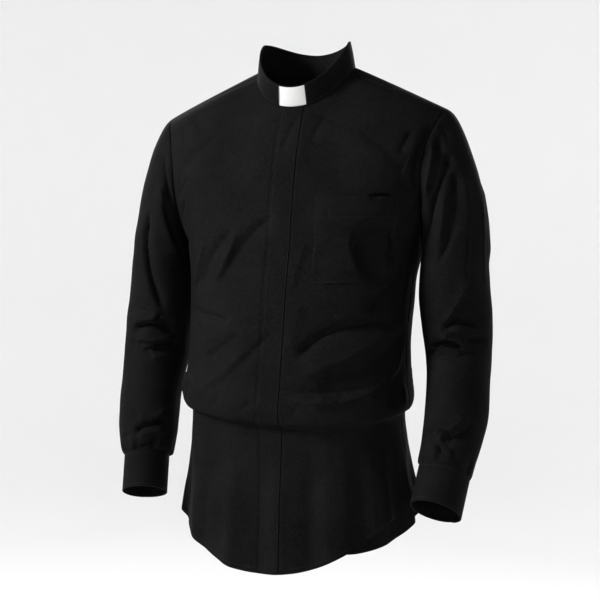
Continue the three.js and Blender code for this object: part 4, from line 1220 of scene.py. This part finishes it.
def line(u0, v0, u1, v1, count):
    return np.stack([np.linspace(u0, u1, count), np.linspace(v0, v1, count)], -1)


def thread_button(name, lay, length):
    """Two crossed bars of thread in the button's four holes."""
    around = 360 + CUFF_OVERLAP * 0.35
    points, normals = on_cloth(lay, np.array([around]), np.array([length / 2]), BUTTON_FACE)
    sideways, _ = on_cloth(lay, np.array([around + 1.0]), np.array([length / 2]), BUTTON_FACE)
    normal = Vector(normals[0])
    across = (Vector(sideways[0]) - Vector(points[0])).normalized()
    up = normal.cross(across).normalized()
    bm = bmesh.new()
    for turn in (45, 135):
        along = across * math.cos(math.radians(turn)) + up * math.sin(math.radians(turn))
        sideways = normal.cross(along)
        for shift in (-0.16, 0.16):
            middle = Vector(points[0]) + sideways * shift - normal * 0.05
            matrix = placed(sideways * 0.2, normal * 0.28, along * 1.25, middle)
            bmesh.ops.create_uvsphere(bm, u_segments=8, v_segments=6, radius=1, matrix=matrix)
    return finish_piece(f"cuff_button_thread_{name}", bm, THREAD, crease=70)


front_left, left_lay = sew_front(1, "front_left")
front_right, right_lay = sew_front(-1, "front_right")
back = sew_back()
yoke = sew_yoke()
fly, fly_lay = sew_fly()
pocket, pocket_lay, pocket_hem_up = sew_pocket(left_lay)
sleeves, sleeve_lays, slits, cuffs = {}, {}, {}, {}
for name, side in SIDES.items():
    sleeves[name], sleeve_lays[name] = sew_sleeve(side, name)
    slits[name] = sew_slit_strip(name, sleeve_lays[name])
    cuffs[name] = sew_cuff(side, name)
    thread_button(name, cuffs[name][1], cuffs[name][2])
band, stand = sew_collar()
for name in SIDES:
    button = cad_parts[f"cuff_button_{name}"]
    button.data.materials.clear()
    button.data.materials.append(BUTTON)

stitching("fly_stitching", [
    (fly_lay, line(FLY_HALF - 1.2, 0.05, FLY_HALF - 1.2, NECK_UP - 0.1, 60), LAYER_LIFT),
    (fly_lay, line(-FLY_HALF + 5, 0.05, -FLY_HALF + 5, NECK_UP - 0.1, 60), LAYER_LIFT),
])
pocket_foot, pocket_inset = HEM_ROW - POCKET_FOOT_ROW, 1.7
pocket_left, pocket_right = POCKET["near"] + pocket_inset, POCKET["far"] - pocket_inset
pen_slot = POCKET["near"] + PEN_SLOT
stitching("pocket_stitching", [
    (pocket_lay, [
        (pocket_left, POCKET_TOP_UP - 0.05), (pocket_left, pocket_foot + 0.26),
        (POCKET["near"] + POCKET_CORNER + 0.6, pocket_foot + 0.03),
        (POCKET["far"] - POCKET_CORNER - 0.6, pocket_foot + 0.03),
        (pocket_right, pocket_foot + 0.26), (pocket_right, POCKET_TOP_UP - 0.05),
    ], LAYER_LIFT),
    (pocket_lay, line(pocket_left, pocket_hem_up, pocket_right, pocket_hem_up, 30), LAYER_LIFT),
    (pocket_lay, line(pen_slot, POCKET_TOP_UP - 0.05, pen_slot, pocket_hem_up, 8), LAYER_LIFT),
])
stitching("yoke_stitching", [
    (YOKE_LAY, line(YOKE_SHOULDER, 0.986, YOKE_END - YOKE_SHOULDER, 0.986, 40), 0.0),
    (YOKE_LAY, line(0.12, 0.04, 0.12, 0.98, 12), 0.0),
    (YOKE_LAY, line(YOKE_END - 0.12, 0.04, YOKE_END - 0.12, 0.98, 12), 0.0),
])
hem_up, front_hem_end = 0.13, 266
for name, lay, path in (
    ("front_left", left_lay, line(1, hem_up, front_hem_end, hem_up, 40)),
    ("front_right", right_lay, line(1, hem_up, front_hem_end, hem_up, 40)),
    ("back", BACK_LAY, line(0.01, hem_up, 0.99, hem_up, 60)),
):
    stitching(f"{name}_hem_stitching", [(lay, path, 0.0)])
for name in SIDES:
    _, lay, length = cuffs[name]
    sweep = 360 + CUFF_OVERLAP
    stitching(f"cuff_{name}_stitching", [
        (lay, line(4, 4.5, sweep - 4, 4.5, 60), 0.0),
        (lay, line(4, length - 4.5, sweep - 18, length - 4.5, 60), 0.0),
        (lay, line(sweep - 6, 5, sweep - 6, length - 13, 6), 0.0),
    ])
    turns, rows = slits[name][1]
    left, right = turns[0] + 0.006, turns[-1] - 0.006
    stitching(f"slit_{name}_stitching", [
        (sleeve_lays[name], line(left, rows[0] + 0.45, left, rows[-1] - 0.1, 12), LAYER_LIFT),
        (sleeve_lays[name], line(right, rows[0] + 0.45, right, rows[-1] - 0.1, 12), LAYER_LIFT),
    ])
band_start, band_end = TAB_ANGLE + 1.5, 360 - TAB_ANGLE - 1.5
stitching("collar_stitching", [
    (BAND_LAY, line(band_start, 0.09, band_end, 0.09, 80), 0.0),
    (BAND_LAY, line(band_start, 0.93, band_end, 0.93, 80), 0.0),
    (BAND_LAY, line(band_start, 0.1, band_start, 0.92, 6), 0.0),
    (BAND_LAY, line(band_end, 0.1, band_end, 0.92, 6), 0.0),
])


# Floor, light and camera
def pale_floor():
    material, nodes, links, shader = new_material("pale_floor")
    shader.inputs["Roughness"].default_value = 0.9
    shader.inputs["Specular IOR Level"].default_value = 0.1
    shader.inputs["Base Color"].default_value = (0.86, 0.86, 0.86, 1)
    bm = bmesh.new()
    profile = [
        (0.02, -1.5), (2.6, -1.5), (3.6, -1.4), (4.6, -1.05),
        (5.4, -0.35), (5.9, 0.7), (6.1, 2.2), (6.1, 5.0),
    ]
    verts = [bm.verts.new((x, 0, z)) for x, z in profile]
    edges = [bm.edges.new(pair) for pair in zip(verts, verts[1:])]
    bmesh.ops.spin(
        bm, geom=verts + edges, axis=(0, 0, 1), cent=(0, 0, 0), angle=2 * math.pi, steps=72, use_merge=True,
    )
    middle = [edge for edge in bm.edges if edge.is_boundary and edge.verts[0].co.length < 1.6]
    bmesh.ops.contextual_create(bm, geom=middle)
    bmesh.ops.recalc_face_normals(bm, faces=bm.faces[:])
    for face in bm.faces:
        face.smooth = True
    mesh = bpy.data.meshes.new("studio_floor")
    bm.to_mesh(mesh)
    bm.free()
    mesh.materials.append(material)
    floor = bpy.data.objects.new("studio_floor", mesh)
    bpy.context.scene.collection.objects.link(floor)


def area_light(name, place, aim, size, power):
    light = bpy.data.lights.new(name, "AREA")
    light.shape = "DISK"
    light.size = size
    light.energy = power
    lamp = bpy.data.objects.new(name, light)
    lamp.location = place
    lamp.rotation_euler = (Vector(aim) - Vector(place)).to_track_quat("-Z", "Y").to_euler()
    bpy.context.scene.collection.objects.link(lamp)


pale_floor()
TURN = math.radians(20)
IMAGE_RIGHT = Vector((math.cos(TURN), math.sin(TURN), 0))
TO_CAMERA = Vector((math.sin(TURN), -math.cos(TURN), 0))
UP = Vector((0, 0, 1))
CENTRE = Vector((0, 0, -0.33))
area_light("key", CENTRE - IMAGE_RIGHT * 2.5 + TO_CAMERA * 0.75 + UP * 1.45, CENTRE, 0.8, 122)
area_light("back_left", CENTRE - IMAGE_RIGHT * 1.2 - TO_CAMERA * 2.6 + UP * 1.5, CENTRE, 1.2, 50)
area_light("back_right", CENTRE + IMAGE_RIGHT * 1.3 - TO_CAMERA * 2.7 + UP * 1.3, CENTRE, 1.2, 50)
for hand in (-1, 1):
    beside = CENTRE - TO_CAMERA * 1.2 + IMAGE_RIGHT * 2.6 * hand + UP * 1.6
    area_light("backdrop", beside, CENTRE - TO_CAMERA * 6 + IMAGE_RIGHT * 0.6 * hand + UP * 1.0, 1.6, 60)

world = bpy.data.worlds.new("studio")
bpy.context.scene.world = world
world.use_nodes = True
world.node_tree.nodes["Background"].inputs["Color"].default_value = (1, 1, 1, 1)
world.node_tree.nodes["Background"].inputs["Strength"].default_value = 0.18
bpy.context.scene.view_settings.view_transform = "Standard"

camera = bpy.data.cameras.new("camera")
camera.lens = 120
camera.sensor_width = 36
eye = bpy.data.objects.new("camera", camera)
eye.location = TO_CAMERA * 3.0 - IMAGE_RIGHT * 0.00825 + Vector((0, 0, -0.346))
eye.rotation_euler = (math.radians(90), 0, TURN)
bpy.context.scene.collection.objects.link(eye)
bpy.context.scene.camera = eye
